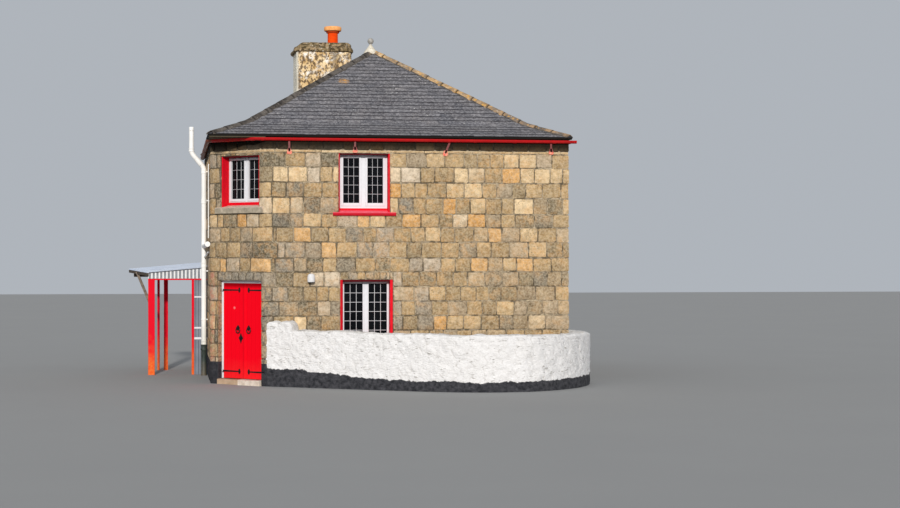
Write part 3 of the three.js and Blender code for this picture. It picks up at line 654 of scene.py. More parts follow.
# %% Where the openings are
SILL_BED = 0.062                # how far the wall is cut away under a sill
OPENINGS = {
    "window_front_upper": dict(face="front", at=-0.592, width=1.063, sill=3.600, head=4.776),
    "window_front_lower": dict(face="front", at=-0.545, width=1.092, sill=0.860, head=2.176),
    "window_corner_upper": dict(face="corner", at=0.060, width=1.060, sill=3.710, head=4.730),
    "window_right_upper": dict(face="right", at=0.0, width=1.063, sill=3.600, head=4.776),
    "window_right_lower": dict(face="right", at=0.0, width=1.092, sill=0.860, head=2.176),
    "window_back_upper": dict(face="back", at=-1.5, width=1.063, sill=3.600, head=4.776),
    "window_back_lower": dict(face="back", at=-1.5, width=1.092, sill=0.860, head=2.176),
}
DOOR = dict(face="corner", at=0.045, width=1.206, sill=0.0, head=2.155)
SIDE_DOOR = dict(face="left", at=-1.150, width=0.900, sill=0.115, head=2.060)

# %% The line round the house
ROUND = np.array([[0, HALF], [-HALF, HALF], [-HALF, -FOLD], [-FOLD, -HALF], [HALF, -HALF], [HALF, HALF],
                  [0, HALF]])
SIDES = np.linalg.norm(np.diff(ROUND, axis=0), axis=1)
TURNS = np.concatenate([[0], np.cumsum(SIDES)])     # how far round each corner is, from the back's middle
FIRST_X = {"left": (1, -HALF), "corner": (2, -SIDES[2] / 2), "front": (3, -FOLD), "right": (4, -HALF),
           "back": (0, 0)}


def along_walls(face, x):
    """How far round the house a place x on a wall is."""
    side, first = FIRST_X[face]
    far = TURNS[side] + x - first
    return far + TURNS[-1] if far < 0 else far


def off_walls(far, out):
    """Points a distance out from the walls: P + out * n along a wall, and
    P + out * (n1 + n2) / (1 + n1.n2) at a corner."""
    way = np.diff(ROUND, axis=0) / SIDES[:, None]
    normal = np.stack([-way[:, 1], way[:, 0]], 1) * -1
    side = np.clip(np.searchsorted(TURNS, far, side="right") - 1, 0, len(SIDES) - 1)
    base = ROUND[side] + way[side] * (far - TURNS[side])[..., None]
    push = normal[side]
    at_corner = (np.abs(far - TURNS[side]) < 1e-7) & (side > 0)
    both = normal[side] + normal[side - 1]
    share = 1 + (normal[side] * normal[side - 1]).sum(-1)
    push = np.where(at_corner[..., None], both / share[..., None], push)
    return base + push * np.asarray(out)[..., None]


# %% Laying the courses
STRING = (4.783, 4.838)         # the thin pale course under the frieze
COURSES = (0.292, 0.319, 0.310, 0.335, 0.278, 0.301, 0.326, 0.288, 0.304, 0.300, 0.300, 0.300, 0.290, 0.280,
           0.280, 0.280)
LEVELS = np.maximum(STRING[0] - np.cumsum([0, *COURSES]), 0)
WALL_TOP = 5.03
JOINT = 0.013
WIDTHS = (0.26, 0.42)
CORNER_KEEP = 0.11              # no joint comes nearer to a corner of the house
LEAST_STONE = 0.045


def sides_of(hole):
    """Where an opening begins and ends along its wall."""
    return hole["at"] - hole["width"] / 2, hole["at"] + hole["width"] / 2


def hole_spans():
    """The openings as (from, to, low, high) along the line round the house."""
    spans = []
    for hole in [*OPENINGS.values(), DOOR, SIDE_DOOR]:
        middle = along_walls(hole["face"], hole["at"])
        low = hole["sill"] - (SILL_BED if hole["sill"] > 0.5 else 0)
        spans.append((middle - hole["width"] / 2, middle + hole["width"] / 2, low, hole["head"]))
    return spans


def joints_of(low, high, spans, draw, widths):
    """Where the upright joints of one course are: drawn widths, the sides of the openings, and no joint
    close to those or to a corner."""
    free = np.cumsum(draw.uniform(*widths, 150))
    fixed = [edge for a, b, z0, z1 in spans if z1 > low + 0.02 and z0 < high - 0.02 for edge in (a, b)]
    free = free[free < TURNS[-1] - 0.2]
    for edge in fixed:
        free = free[np.abs(free - edge) > 0.11]
    for turn in TURNS[1:-1]:
        free = free[np.abs(free - turn) > CORNER_KEEP]
    line = np.unique(np.concatenate([[0, TURNS[-1]], free, fixed]))
    wide = np.diff(line) > 1.15 * widths[1]
    middles = (line[:-1] + line[1:])[wide] / 2
    near = np.abs(middles[:, None] - TURNS[None, 1:-1]) < CORNER_KEEP
    middles = middles + np.where(near.any(1), 2 * CORNER_KEEP, 0)
    return np.sort(np.concatenate([line, middles]))


def lay_stones():
    """All stones as rows of (from, to, low, high): a course is cut by the openings it meets, and what is
    left over a head is cut in two, as the small stones there are."""
    draw = np.random.default_rng(11)
    spans = hole_spans()
    courses = [(STRING[1], WALL_TOP), STRING, *zip(LEVELS[1:], LEVELS[:-1])]
    stones = []
    for low, high in courses:
        line = joints_of(low, high, spans, draw, (0.7, 1.3) if low == STRING[0] else WIDTHS)
        for a, b in zip(line[:-1], line[1:]):
            z0, z1, parts = low, high, 1
            for h0, h1, sill, head in spans:
                if min(b, h1) - max(a, h0) > 0.5 * (b - a):
                    if sill <= z0 < head:
                        z0, parts = min(head, z1), 2
                    elif z0 < sill < z1:
                        z1 = sill
            if z1 - z0 > LEAST_STONE:
                cuts = np.linspace(a, b, parts + 1)
                stones += [(p, q, z0, z1) for p, q in zip(cuts[:-1], cuts[1:])]
    return np.array(stones)


# %% The shape of one block
FRONT = np.arange(35).reshape(5, 7)
RIM = np.concatenate([FRONT[0], FRONT[1:, 6], FRONT[4, 5::-1], FRONT[3:0:-1, 0]])
BACK = 35 + np.arange(20)
BLOCK_STONE_FACES = [
    np.concatenate([grid_faces(5, 7),
                    np.stack([RIM, BACK, np.roll(BACK, -1), np.roll(RIM, -1)], 1),
                    np.array([[36 + c, 35 + c, 51 - c, 50 - c] for c in range(1, 5)])]),
    np.array([[36, 35, 54, 53, 52, 51, 50], [41, 40, 46, 45, 44, 43, 42]]),
]
EASE = 0.020                    # how far in from its edge a block is rounded
PROUD = 0.012                   # how far a block stands out of the mortar
STONE_POINTS = 55               # 35 on the grid and 20 behind its rim
EDGE = np.ones(STONE_POINTS)    # 1 on a block's rim and 0 on its face
EDGE[FRONT[1:4, 1:6].ravel()] = 0


def stone_shells(stones, seed):
    """Every block as a bowed 7 x 5 grid with a rim that goes back into the mortar:
    out = proud * row(0.25, 1, 1, 1, 0.25) * column(0.25, 1, 1, 1, 1, 1, 0.25) + unevenness."""
    draw = np.random.default_rng(seed)
    n = len(stones)
    a, b, low, high = (stones[:, i] for i in range(4))
    a, b, low, high = a + JOINT / 2, b - JOINT / 2, low + JOINT / 2, high - JOINT / 2
    middle = (a + b) / 2
    for turn in TURNS[1:-1]:
        middle = np.where((a < turn) & (turn < b), turn, middle)
    third = [a + EASE, (a + EASE + middle) / 2, middle, (b - EASE + middle) / 2, b - EASE]
    columns = np.stack([a, *third, b], 1)
    share = np.array([0.0, 0.0, 0.5, 1.0, 1.0])
    rows = low[:, None] + (high - low)[:, None] * share + np.array([0, EASE, 0, -EASE, 0])
    far = np.repeat(columns[:, None], 5, 1)
    tall = np.repeat(rows[:, :, None], 7, 2)
    small = np.clip((high - low) / 0.2, 0.2, 1)[:, None, None]
    loose = np.ones(7)
    loose[3] = 0                # the middle column may stand on a corner of the house
    shift = draw.normal(0, 0.0045, (3, n, 1, 1)) * small
    across, up = np.linspace(-1, 1, 7), np.linspace(-1, 1, 5)[:, None]
    far = far + (draw.normal(0, 0.0040, (n, 5, 7)) * small + shift[0] * up) * loose
    tall = tall + draw.normal(0, 0.0040, (n, 5, 7)) * small + shift[1] + shift[2] * across
    pull = draw.uniform(0.003, 0.019, (n, 4)) * small[:, 0]
    far[:, [0, 0, 4, 4], [0, 6, 0, 6]] += pull * [1, -1, 1, -1]
    tall[:, [0, 0, 4, 4], [0, 6, 0, 6]] += pull * [1, 1, -1, -1]
    tall = np.maximum(tall, 0)
    bow = np.array([0.25, 1, 1, 1, 0.25])[None, :, None] * np.array([0.25, 1, 1, 1, 1, 1, 0.25])[None, None]
    out = (PROUD + draw.normal(0, 0.003, (n, 1, 1))) * bow + draw.normal(0, 0.0028, (n, 5, 7)) * bow
    plan = off_walls(far, np.clip(out, 0.001, 0.022))
    front = np.concatenate([plan, tall[..., None]], -1).reshape(n, 35, 3)
    rim_far, rim_tall = far.reshape(n, 35)[:, RIM], tall.reshape(n, 35)[:, RIM]
    back = np.concatenate([off_walls(rim_far, np.full(rim_far.shape, -0.006)), rim_tall[..., None]], -1)
    return np.concatenate([front, back], 1)


# How much paler the first courses are than the rest, from the top down, on the front near the entrance
PALER = (0.03, 0.50, 0.05, -0.07, -0.12, -0.18, -0.02, -0.07)


def stone_tones(stones, seed):
    """For each block its tone, whether it is in the frieze that carries painted shade, and how grey it is.
    Blocks are creamier high up, paler and calmer to the right of the front, dark and grey over the
    entrance, darker and greyer as painted shade on the pier beside it, pale in the string course, and
    ochre in one of twelve."""
    draw = np.random.default_rng(seed)
    n, low = len(stones), stones[:, 2]
    middle = (stones[:, 0] + stones[:, 1]) / 2
    right = middle - TURNS[3]   # how far to the right of the front's left edge
    upper = smooth_step(low, 2.4, 3.4)
    spread = 0.24 + 0.06 * upper - 0.09 * smooth_step(right, 1.6, 3.2)
    tone = 0.43 + spread * draw.normal(0, 1, n) + 0.06 * upper + 0.09 * smooth_step(right, 1.0, 3.0)
    course = np.searchsorted(-LEVELS[1:], -(low + stones[:, 3]) / 2)
    near = smooth_step(right, 0, 0.1) * smooth_step(3.6 - right, 0, 1.0)
    tone = tone + near * np.append(PALER, 0.0)[np.minimum(course, len(PALER))]
    at_corner = (middle > TURNS[2] - 0.3) & (right < 0.02)
    over_door = at_corner & (np.abs(low - DOOR["head"]) < 0.02)
    tone = np.clip(np.where(at_corner, 0.97 * tone, tone), 0.02, 0.90)
    ochre = draw.random(n) < 0.080
    tone = np.where(ochre, draw.uniform(0.96, 1.0, n), tone)
    tone = np.where(over_door, draw.uniform(0.16, 0.30, n), tone)
    grey = np.where(draw.random(n) < 0.36, draw.uniform(0.4, 1.0, n), 0)
    grey = np.where(over_door, 1.0, np.where(ochre, 0, grey))
    grey = grey * (1 - 0.45 * smooth_step(right, 3.2, 4.2))
    # The frieze blocks are marked for the painted shade under the gutter.
    frieze = low > STRING[1] - 0.01
    tone = np.where(frieze, draw.choice([0.25, 0.4, 0.5, 0.9], n), tone)
    tone = np.where(~frieze & (low > STRING[0] - 0.01), draw.uniform(0.80, 0.90, n), tone)
    # Painted shade: the blocks of the pier right of the door are darker and greyer.
    pier = (right > -0.30) & (right < 0.16) & (low < DOOR["head"] - 0.02)
    tone = np.where(pier, draw.uniform(0.10, 0.36, n), tone)
    return tone, frieze.astype(float), np.where(pier, 0.8, grey)


# %% Build the stonework, one piece a wall
stones = lay_stones()
middles = (stones[:, 0] + stones[:, 1]) / 2
shells, (tones, soot, grey) = stone_shells(stones, 5), stone_tones(stones, 6)
edge_share = np.where(np.isclose(stones[:, 2], STRING[0]), 0.3, 1.0)
names = ("back_left", "left", "corner", "front", "right", "back_right")
for name, start, end in zip(names, TURNS[:-1], TURNS[1:]):
    mine = (middles >= start) & (middles < end)
    marks = {"edge": np.outer(edge_share[mine], EDGE).ravel(), "grey": np.repeat(grey[mine], STONE_POINTS),
             "tone": np.repeat(tones[mine], STONE_POINTS), "soot": np.repeat(soot[mine], STONE_POINTS)}
    make_piece("stones_" + name, shells[mine].reshape(-1, 3),
               repeated(BLOCK_STONE_FACES, STONE_POINTS, mine.sum()), STONE, "stone", sharp=50, marks=marks)
print(len(stones), "blocks of stone")

# %% [markdown]
# The doorways are deep, so their sides show stone as well. These are plain squared blocks, one to a
# course, set on both cheeks of each opening between the face of the wall and the door frame.

# %% Stones in the doorways' cheeks
def cheek_stones(hole, depth):
    """Blocks on the two sides of an opening, as deep as the frame is set back."""
    edges = sorted({hole["head"], *LEVELS[LEVELS < hole["head"]]})
    low, high = np.array(edges[:-1]) + JOINT / 2, np.array(edges[1:]) - JOINT / 2
    keep = high - low > 0.03
    low, high = low[keep], high[keep]
    n, thick = len(low), 0.006
    left, right = sides_of(hole)
    lows, highs = [], []
    for x0, x1 in ((left - 0.004, left + thick), (right - thick, right + 0.004)):
        lows.append(np.stack([np.full(n, x0), np.full(n, 0.004), low], 1))
        highs.append(np.stack([np.full(n, x1), np.full(n, depth - 0.003), high], 1))
    return on_wall(hole["face"], blocks(np.vstack(lows), np.vstack(highs), 0.004)), 2 * n


for name, hole in (("stones_door_cheeks", DOOR), ("stones_side_door_cheeks", SIDE_DOOR)):
    shape, count = cheek_stones(hole, 0.118)
    make_piece(name, *shape, STONE, "stone",
               marks={"tone": np.repeat(np.random.default_rng(3).uniform(0.15, 0.5, count), 24)})

# %% [markdown]
# ## The slates
# About eighteen hundred slates lie in rows 0.17 m apart, each row tilted over the one below it. A
# slate is only two dozen points: a 4 x 3 grid for its face, one for its back, with the two lower
# corners drawn up a little where they have chipped. Slates that pass a hip are cut along it, and
# those that would stand in the chimney are left out.

# %% The slopes of the roof
EAVE, KICK, APEX = (3.770, 5.135), (3.000, 5.430), 7.320
LOWER_RUN = math.hypot(EAVE[0] - KICK[0], KICK[1] - EAVE[1])
LOWER_TILT = math.atan2(KICK[1] - EAVE[1], EAVE[0] - KICK[0])
UPPER_TILT = math.atan2(APEX - KICK[1], KICK[0])
UPPER_RUN = math.hypot(KICK[0], APEX - KICK[1])


def roof_height(half):
    """The height of the slopes where the larger of |x| and |y| is half."""
    return np.interp(half, [0, KICK[0], EAVE[0]], [APEX, KICK[1], EAVE[1]])


def half_at(up):
    """Half the width of a slope, a way up from its eave: two straight stretches that meet at the kick."""
    low = EAVE[0] - up * math.cos(LOWER_TILT)
    high = KICK[0] - (up - LOWER_RUN) * math.cos(UPPER_TILT)
    return np.where(up < LOWER_RUN, low, high)


def on_slope(turns, across, up, lift):
    """A point on a slope: across it, a way up from its eave and lifted square to it, turned to its side."""
    tilt = np.where(up < LOWER_RUN, LOWER_TILT, UPPER_TILT)
    half = half_at(up)
    height = roof_height(half)
    height = np.where(up < 0, EAVE[1] + up * math.sin(LOWER_TILT), height)
    y = -(half + lift * np.sin(tilt))
    z = height + lift * np.cos(tilt)
    c, s = [(1, 0), (0, 1), (-1, 0), (0, -1)][turns]
    return np.stack([c * across - s * y, s * across + c * y, z], -1)


# %% Laying the slates
GAUGE = 0.168
SLATE_WIDTH = 0.228
SLATE_LAP = 0.065
SLATE_THICK = 0.007
SLATE_RIM = np.array([0, 1, 2, 3, 7, 11, 10, 9, 8, 4])
SLATE_SIDES = np.stack([SLATE_RIM, SLATE_RIM + 12, np.roll(SLATE_RIM, -1) + 12, np.roll(SLATE_RIM, -1)], 1)
SLATE_FACES = [np.concatenate([grid_faces(3, 4), grid_faces(3, 4)[:, ::-1] + 12, SLATE_SIDES])]
TAIL = np.tile([1.0] * 4 + [0.0] * 8, 2)     # 1 at a slate's lower edge
STACK_X, STACK_Y = (-1.683, -0.400), (0.600, 1.850)


def in_stack(points, margin):
    """Whether points (n, 3) lie in the chimney's plan, deeper than the margin."""
    x, y = points[:, 0], points[:, 1]
    in_x = (x > STACK_X[0] + margin) & (x < STACK_X[1] - margin)
    return in_x & (y > STACK_Y[0] + margin) & (y < STACK_Y[1] - margin)


def slates_of(turns, seed):
    """All slates of one slope as (n, 24) points. Tail lift 0.018, head lift 0.008, less the thickness
    for the back; the two bottom corners are drawn up by a drawn amount."""
    draw = np.random.default_rng(seed)
    rows = int((LOWER_RUN + UPPER_RUN) / GAUGE)
    cells = []
    for row in range(rows):
        tail = -0.014 + row * GAUGE
        reach = float(half_at(np.array(max(tail, 0)))) + 0.1
        widths = SLATE_WIDTH * draw.uniform(0.86, 1.14, int(2 * reach / SLATE_WIDTH) + 4)
        edge = -reach - SLATE_WIDTH * draw.uniform(0.1, 0.9) + np.concatenate([[0], np.cumsum(widths)])
        cells.append(np.stack([edge[:-1], edge[1:], np.full(len(widths), tail)], 1))
    cells = np.vstack(cells)
    limit = half_at(np.maximum(cells[:, 2], 0))
    cells = cells[(cells[:, 0] < limit - 0.02) & (cells[:, 1] > 0.02 - limit)]
    n = len(cells)
    slack = draw.uniform(0.0008, 0.003, (n, 2))
    left, right = cells[:, 0] + slack[:, 0], cells[:, 1] - slack[:, 1]
    chip = draw.uniform(0.01, 0.03, (n, 2))
    x = np.stack([left, left + chip[:, 0], right - chip[:, 1], right], 1)
    tail = cells[:, 2] + draw.normal(0, 0.0035, n)
    skew = draw.normal(0, 0.0016, n)
    flat = np.zeros(n)
    drawn_up = np.stack([draw.exponential(0.0035, n), flat, flat, draw.exponential(0.0035, n)], 1)
    head = tail + GAUGE + SLATE_LAP
    up = np.stack([tail[:, None] + drawn_up + skew[:, None] * [-1, -0.9, 0.9, 1],
                   np.repeat((tail + 0.05)[:, None], 4, 1), np.repeat(head[:, None], 4, 1)], 1)
    x = np.repeat(x[:, None], 3, 1)
    x = np.clip(x, -half_at(np.maximum(up, 0)), half_at(np.maximum(up, 0)))
    share = (up - tail[:, None, None]) / (GAUGE + SLATE_LAP)
    lift = 0.018 - 0.010 * share + draw.normal(0, 0.0009, n)[:, None, None]
    lift = lift + draw.normal(0, 0.0007, (n, 1, 4)) * (1 - share)
    points = np.concatenate([on_slope(turns, x, up, lift).reshape(n, 12, 3),
                             on_slope(turns, x, up, lift - SLATE_THICK).reshape(n, 12, 3)], 1)
    whole = np.ptp(points[:, :12].reshape(n, -1, 3), axis=1).max(1) > 0.05
    return points[~in_stack(points.mean(1), 0.05) & whole]


# %% The finish of the slates
def make_slate():
    """Blue-grey slate, each with its own tone, streaked along the slope, with a painted shadow along its
    lower edge, which stands up, with pale chips, white specks and one round patch of orange lichen on
    the front."""
    finish = Finish("slate", 0.72, Specular_IOR_Level=0.25)
    tone = finish.mark("tone")
    base = finish.mix(tone, (0.080, 0.083, 0.100), (0.270, 0.258, 0.272))
    brown = finish.mix(finish.mottle(0.45, 3.6, by=0.36), base, (0.185, 0.155, 0.140))
    streaks = finish.mix(finish.mottle(0.042, 7.0, by=0.60), brown, (0.34, 0.33, 0.35))
    spots = finish.mottle(0.060, 7.0, finish.stretched(1, 1, 1.4), by=0.55)
    dark = finish.mix(spots, streaks, (0.045, 0.045, 0.055))
    grey = finish.mix(finish.lichen(0.055, 0.46, by=0.5), dark, (0.50, 0.49, 0.47))
    specks = finish.mix(finish.lichen(0.11, 0.26), grey, (0.86, 0.83, 0.78))
    # Painted shadow: a dark line along each slate's lower edge, from the tail mark.
    line = finish.times(finish.ranged(finish.mark("tail"), 0.40, 0.80), 0.90)
    lined = finish.mix(line, specks, (0.016, 0.016, 0.020))
    patch = finish.times(finish.near((-0.79, -1.33, 6.48), 0.15, 0.06), finish.mottle(0.05, 5.0))
    orange = finish.mix(patch, lined, (0.60, 0.31, 0.08))
    return finish.finished(orange, 0.03, 0.003, 0.5)


SLATE = make_slate()
for turns, side in enumerate(("front", "right", "back", "left")):
    laid = slates_of(turns, 40 + turns)
    draw = np.random.default_rng(60 + turns)
    tone = np.clip(draw.normal(0.4, 0.22, len(laid)), 0, 1)
    make_piece("slates_" + side, laid.reshape(-1, 3), repeated(SLATE_FACES, 24, len(laid)), SLATE, "slate",
               sharp=30, marks={"tone": np.repeat(tone, 24), "tail": np.tile(TAIL, len(laid))})
    print("slates_" + side, len(laid), "slates")

# %% [markdown]
# Under the slates the solid roof shows only at the eaves and from the attic, so it is finished as
# roofing boards, nearly black as painted shade under the eaves. Wood grain is noise stretched along
# the boards.

# %% Boards
def make_boards(name, dark, pale, board=0.14):
    """Planks: a line every board width across, a tone for each plank and stretched noise for the grain."""
    finish = Finish(name, 0.75, Specular_IOR_Level=0.15)
    plank = finish.math("DIVIDE", finish.xyz()[1], board)
    number = finish.math("FLOOR", plank)
    tone = add_node(finish.tree, "TexWhiteNoise", {"W": number}, noise_dimensions="1D").outputs["Value"]
    grain = finish.mottle(0.03, 2.4, finish.stretched(0.08, 1, 1))
    wood = finish.mix(tone, dark, pale)
    grained = finish.mix(finish.times(grain, 0.5), wood, tuple(0.6 * v for v in dark))
    share = finish.math("FRACT", plank)
    near = finish.math("ABSOLUTE", finish.math("SUBTRACT", share, 0.5))
    groove = finish.ranged(near, 0.478, 0.494)
    cut = finish.mix(groove, grained, (0.02, 0.017, 0.013))
    return finish.finished(cut, height=finish.ranged(near, 0.47, 0.5, 1.0, 0.0), depth=0.004)


# The roof boards are nearly black: painted shade for the gap under the eaves.
ROOF_BOARDS = make_boards("roof_boards_painted_shade", (0.005, 0.004, 0.003), (0.013, 0.010, 0.007))
FLOOR_BOARDS = make_boards("floor_boards", (0.22, 0.15, 0.09), (0.34, 0.25, 0.16), board=0.12)
SOFFIT_BOARDS = make_boards("soffit_boards", (0.055, 0.046, 0.030), (0.13, 0.108, 0.066), board=0.11)
dress(ROOF_BOARDS, "roof_front", "roof_right", "roof_back", "roof_left")
dress(FLOOR_BOARDS, "ground_floor", "upper_floor")
dress(SOFFIT_BOARDS, "corner_soffit")

# %% [markdown]
# ## The hips
# Each hip is capped with half-round clay tiles, about 0.4 m long, bedded in mortar. A tile is one
# arched profile carried a short way up the hip, a little wider at its lower end so that it laps
# the one below. The heights come from the two slopes on either side, so the caps sit on them.

# %% Hip tiles and their mortar
HIP_FOOT, HIP_HEAD = 3.735, 0.06
CAP_HALF, CAP_RISE, CAP_THICK = 0.108, 0.058, 0.013
CAP_LENGTH = 0.29               # along the level, on each of x and y


def over_hip(corner, half, w, lift):
    """A point over a hip: x = cx (h + w / root 2), y = cy (h - w / root 2), the other way round where
    cx cy = -1, and z = roof height there + lift."""
    cx, cy = corner
    x, y = half + w / math.sqrt(2), half - w / math.sqrt(2)
    if cx * cy < 0:
        x, y = y, x
    return np.stack([cx * x, cy * y, roof_height(half + np.abs(w) / math.sqrt(2)) + lift], -1)


TILE_RING = 22                  # points round each of a tile's four stations


def hip_caps(corner, seed):
    """Tiles (n, 88, 3): four stations of an outer and an inner arc, lift = 0.012 + 0.042 sqrt(1 - w^2) for
    w from -1 to 1 across. Tiles that would pass through the chimney are left out."""
    draw = np.random.default_rng(seed)
    feet = np.arange(HIP_FOOT, HIP_HEAD + CAP_LENGTH * 0.4, -CAP_LENGTH)
    w = np.linspace(-1, 1, 11)
    arc = 0.012 + (CAP_RISE - 0.016) * np.sqrt(np.clip(1 - w * w, 0, 1))
    profile_w = np.concatenate([w, w[::-1] * 0.88])
    profile_lift = np.concatenate([arc, arc[::-1] - CAP_THICK])
    tiles = []
    for foot in feet:
        head = max(foot - CAP_LENGTH - 0.02, HIP_HEAD)
        stations = np.array([foot, foot - 0.04, (foot + head) / 2, head])
        spread = np.array([1.03, 1.01, 0.98, 0.93]) * draw.uniform(0.97, 1.02)
        raised = np.array([0.004, 0.003, 0.0, -0.006]) + draw.normal(0, 0.0015)
        half = np.repeat(stations[:, None], TILE_RING, 1) + draw.normal(0, 0.002, (4, 1))
        across = profile_w[None] * CAP_HALF * spread[:, None] + draw.normal(0, 0.003)
        lift = profile_lift[None] + raised[:, None]
        tiles.append(over_hip(corner, half, across, lift).reshape(-1, 3))
    tiles = np.array(tiles)
    return tiles[~in_stack(tiles.mean(1), 0.06)]


def hip_mortar(corner, seed):
    """Two fillets of mortar along a hip: a small lens from w 0.080 to 0.120, with a wavy edge."""
    half = np.linspace(HIP_FOOT, HIP_HEAD + 0.05, 90)
    shapes = []
    for side in (-1, 1):
        shape_w = np.array([0.080, 0.104, 0.120, 0.115, 0.080])
        shape_lift = np.array([0.030, 0.025, 0.010, -0.004, -0.004])
        wavy = 1 + 0.10 * ripple(np.stack([half, half * 0 + side, half * 0], 1), 0.12, seed)
        w = side * shape_w[None] * wavy[:, None]
        m, k = len(half), len(shape_w)
        lift = np.repeat(shape_lift[None], m, 0)
        points = over_hip(corner, np.repeat(half[:, None], k, 1), w, lift).reshape(-1, 3)
        faces = tube_faces(m, k)
        shapes.append((points, faces if side > 0 else [f[:, ::-1] for f in faces]))
    return joined(*shapes)


def facing_out(shape):
    """Turns a closed shape's faces round if it encloses a negative volume: the sum of a . (b x c) over
    the triangles of its faces."""
    points, faces = shape
    volume = 0
    for f in faces:
        p = points[np.asarray(f)]
        for k in range(1, p.shape[1] - 1):
            volume += np.einsum("ij,ij->i", p[:, 0], np.cross(p[:, k], p[:, k + 1])).sum()
    return shape if volume > 0 else (points, [np.asarray(f)[:, ::-1] for f in faces])


def make_hip_tile():
    """Weathered clay: dark grey-brown on the left hips, buff and orange on the right ones, where the
    orange thins out towards the eaves."""
    finish = Finish("hip_tile", 0.88, Specular_IOR_Level=0.3)
    x, _, z = finish.xyz()
    right = finish.ranged(x, -0.12, 0.02)
    high = finish.ranged(z, 5.5, 6.5)
    grey = finish.mix(finish.mottle(0.12, 3.4), (0.025, 0.022, 0.021), (0.092, 0.077, 0.064))
    low_buff = finish.mix(finish.mottle(0.16, 4.5), (0.13, 0.105, 0.085), (0.42, 0.27, 0.15))
    buff = finish.mix(finish.mottle(0.10, 3.6), (0.34, 0.20, 0.085), (0.74, 0.50, 0.26))
    clay = finish.mix(right, grey, finish.mix(high, low_buff, buff))
    patchy = finish.mix(finish.mottle(0.30, 7.0, by=0.65), clay, (0.16, 0.14, 0.125))
    growth = finish.times(finish.lichen(0.07, 0.50), finish.ranged(right, 0, 1, 0.25, 0.55))
    spotted = finish.mix(growth, patchy, (0.55, 0.52, 0.46))
    cover = finish.times(finish.times(finish.lichen(0.09, 0.70), right), 0.85)
    mossy = finish.mix(cover, spotted, (0.62, 0.34, 0.08))
    lip = finish.times(finish.ranged(finish.mark("lip"), 0.30, 0.90), 0.85)
    return finish.finished(finish.mix(lip, mossy, (0.020, 0.017, 0.015)), 0.03, 0.008, 0.5)


def make_lime(name, dark, pale):
    """Lime mortar or render: two tones in clouds, dark algae and pale lichen."""
    finish = Finish(name, 0.93)
    base = finish.mix(finish.mottle(0.08, 3.0), dark, pale)
    algae = finish.mix(finish.lichen(0.09, 0.6, by=0.5), base, tuple(0.35 * v for v in dark))
    return finish.finished(algae, 0.02, 0.006, 0.5)


HIP_TILE = make_hip_tile()
HIP_MORTAR = make_lime("hip_mortar", (0.042, 0.036, 0.032), (0.13, 0.112, 0.095))
hips = {(-1, -1): ("front_left", ["hip_tiles"]), (1, -1): ("front_right", []), (1, 1): ("back_right", []),
        (-1, 1): ("back_left", ["hip_tiles_behind_chimney"])}
for i, (corner, (name, stands_for)) in enumerate(hips.items()):
    tiles = hip_caps(corner, 80 + i)
    lips = np.tile(np.repeat([1.0, 0.2, 0, 0], TILE_RING), len(tiles))
    lips[:4 * TILE_RING] = 0.1
    caps = facing_out((tiles.reshape(-1, 3), repeated(tube_faces(4, TILE_RING), 4 * TILE_RING, len(tiles))))
    make_piece("hip_caps_" + name, *caps, HIP_TILE, "hip_tile", stands_for=stands_for, sharp=50,
               marks={"lip": lips})
    make_piece("hip_mortar_" + name, *facing_out(hip_mortar(corner, 90 + i)), HIP_MORTAR, "mortar")
    print("hip", name, len(tiles), "tiles")

# %% [markdown]
# ## The finial
# The four hips meet under a saddle of pale mortar that carries a small turned ball. The profile is
# drawn once and turned, and the saddle is pressed out of round with slow waves.

# %% Finial
def make_saddle():
    """Cream lime over the hips and a bare grey ball: the tone follows the height."""
    finish = Finish("saddle_mortar", 0.9, Specular_IOR_Level=0.25)
    height = finish.xyz()[2]
    lime = finish.mix(finish.mottle(0.05, 3.0), (0.50, 0.45, 0.36), (0.86, 0.80, 0.68))
    stone = finish.mix(finish.mottle(0.04, 3.0), (0.20, 0.19, 0.175), (0.48, 0.46, 0.43))
    return finish.finished(finish.mix(finish.ranged(height, 7.44, 7.48), lime, stone), 0.02, 0.006, 0.5)


SADDLE = make_saddle()


def finial():
    """Radius against height: a skirt that flares out over the hips, a neck, a collar and a ball
    r = 0.07 cos a at z = 7.545 + 0.07 sin a."""
    ball = np.linspace(-1.15, math.pi / 2, 14)
    skirt = [(0, 7.12), (0.165, 7.12), (0.160, 7.275), (0.138, 7.315), (0.104, 7.355), (0.074, 7.393),
             (0.050, 7.425), (0.036, 7.450), (0.031, 7.468)]
    profile = skirt + [(max(0.07 * math.cos(a), 0.0), 7.545 + 0.07 * math.sin(a)) for a in ball]
    points, faces = turned(profile, (-0.045, 0), 40)
    spread = smooth_step(-points[:, 2], -7.42, -7.30)
    push = 1 + 0.05 * spread * ripple(points, 0.13, 7)
    points[:, 1] *= push
    return points, faces


make_piece("finial_and_saddle", *finial(), SADDLE, "mortar", stands_for=["finial"], sharp=60)

# %% [markdown]
# ## The chimney
# The stack is rendered, with corners rounded by many coats, and its cap is a thick weathered slab
# that bows up in the middle. Both are grids wrapped round a rounded rectangle: the angle runs
# round, the height runs up, and waves of three lengths make the trowelled unevenness.

# %% Chimney shapes
def lengths_along(line):
    """How far along a line each of its points lies."""
    return np.concatenate([[0], np.cumsum(np.linalg.norm(np.diff(line, axis=0), axis=1))])


def at_lengths(line, even):
    """The points at other lengths along a line (n, 2)."""
    far = lengths_along(line)
    return np.stack([np.interp(even, far, line[:, 0]), np.interp(even, far, line[:, 1])], 1)


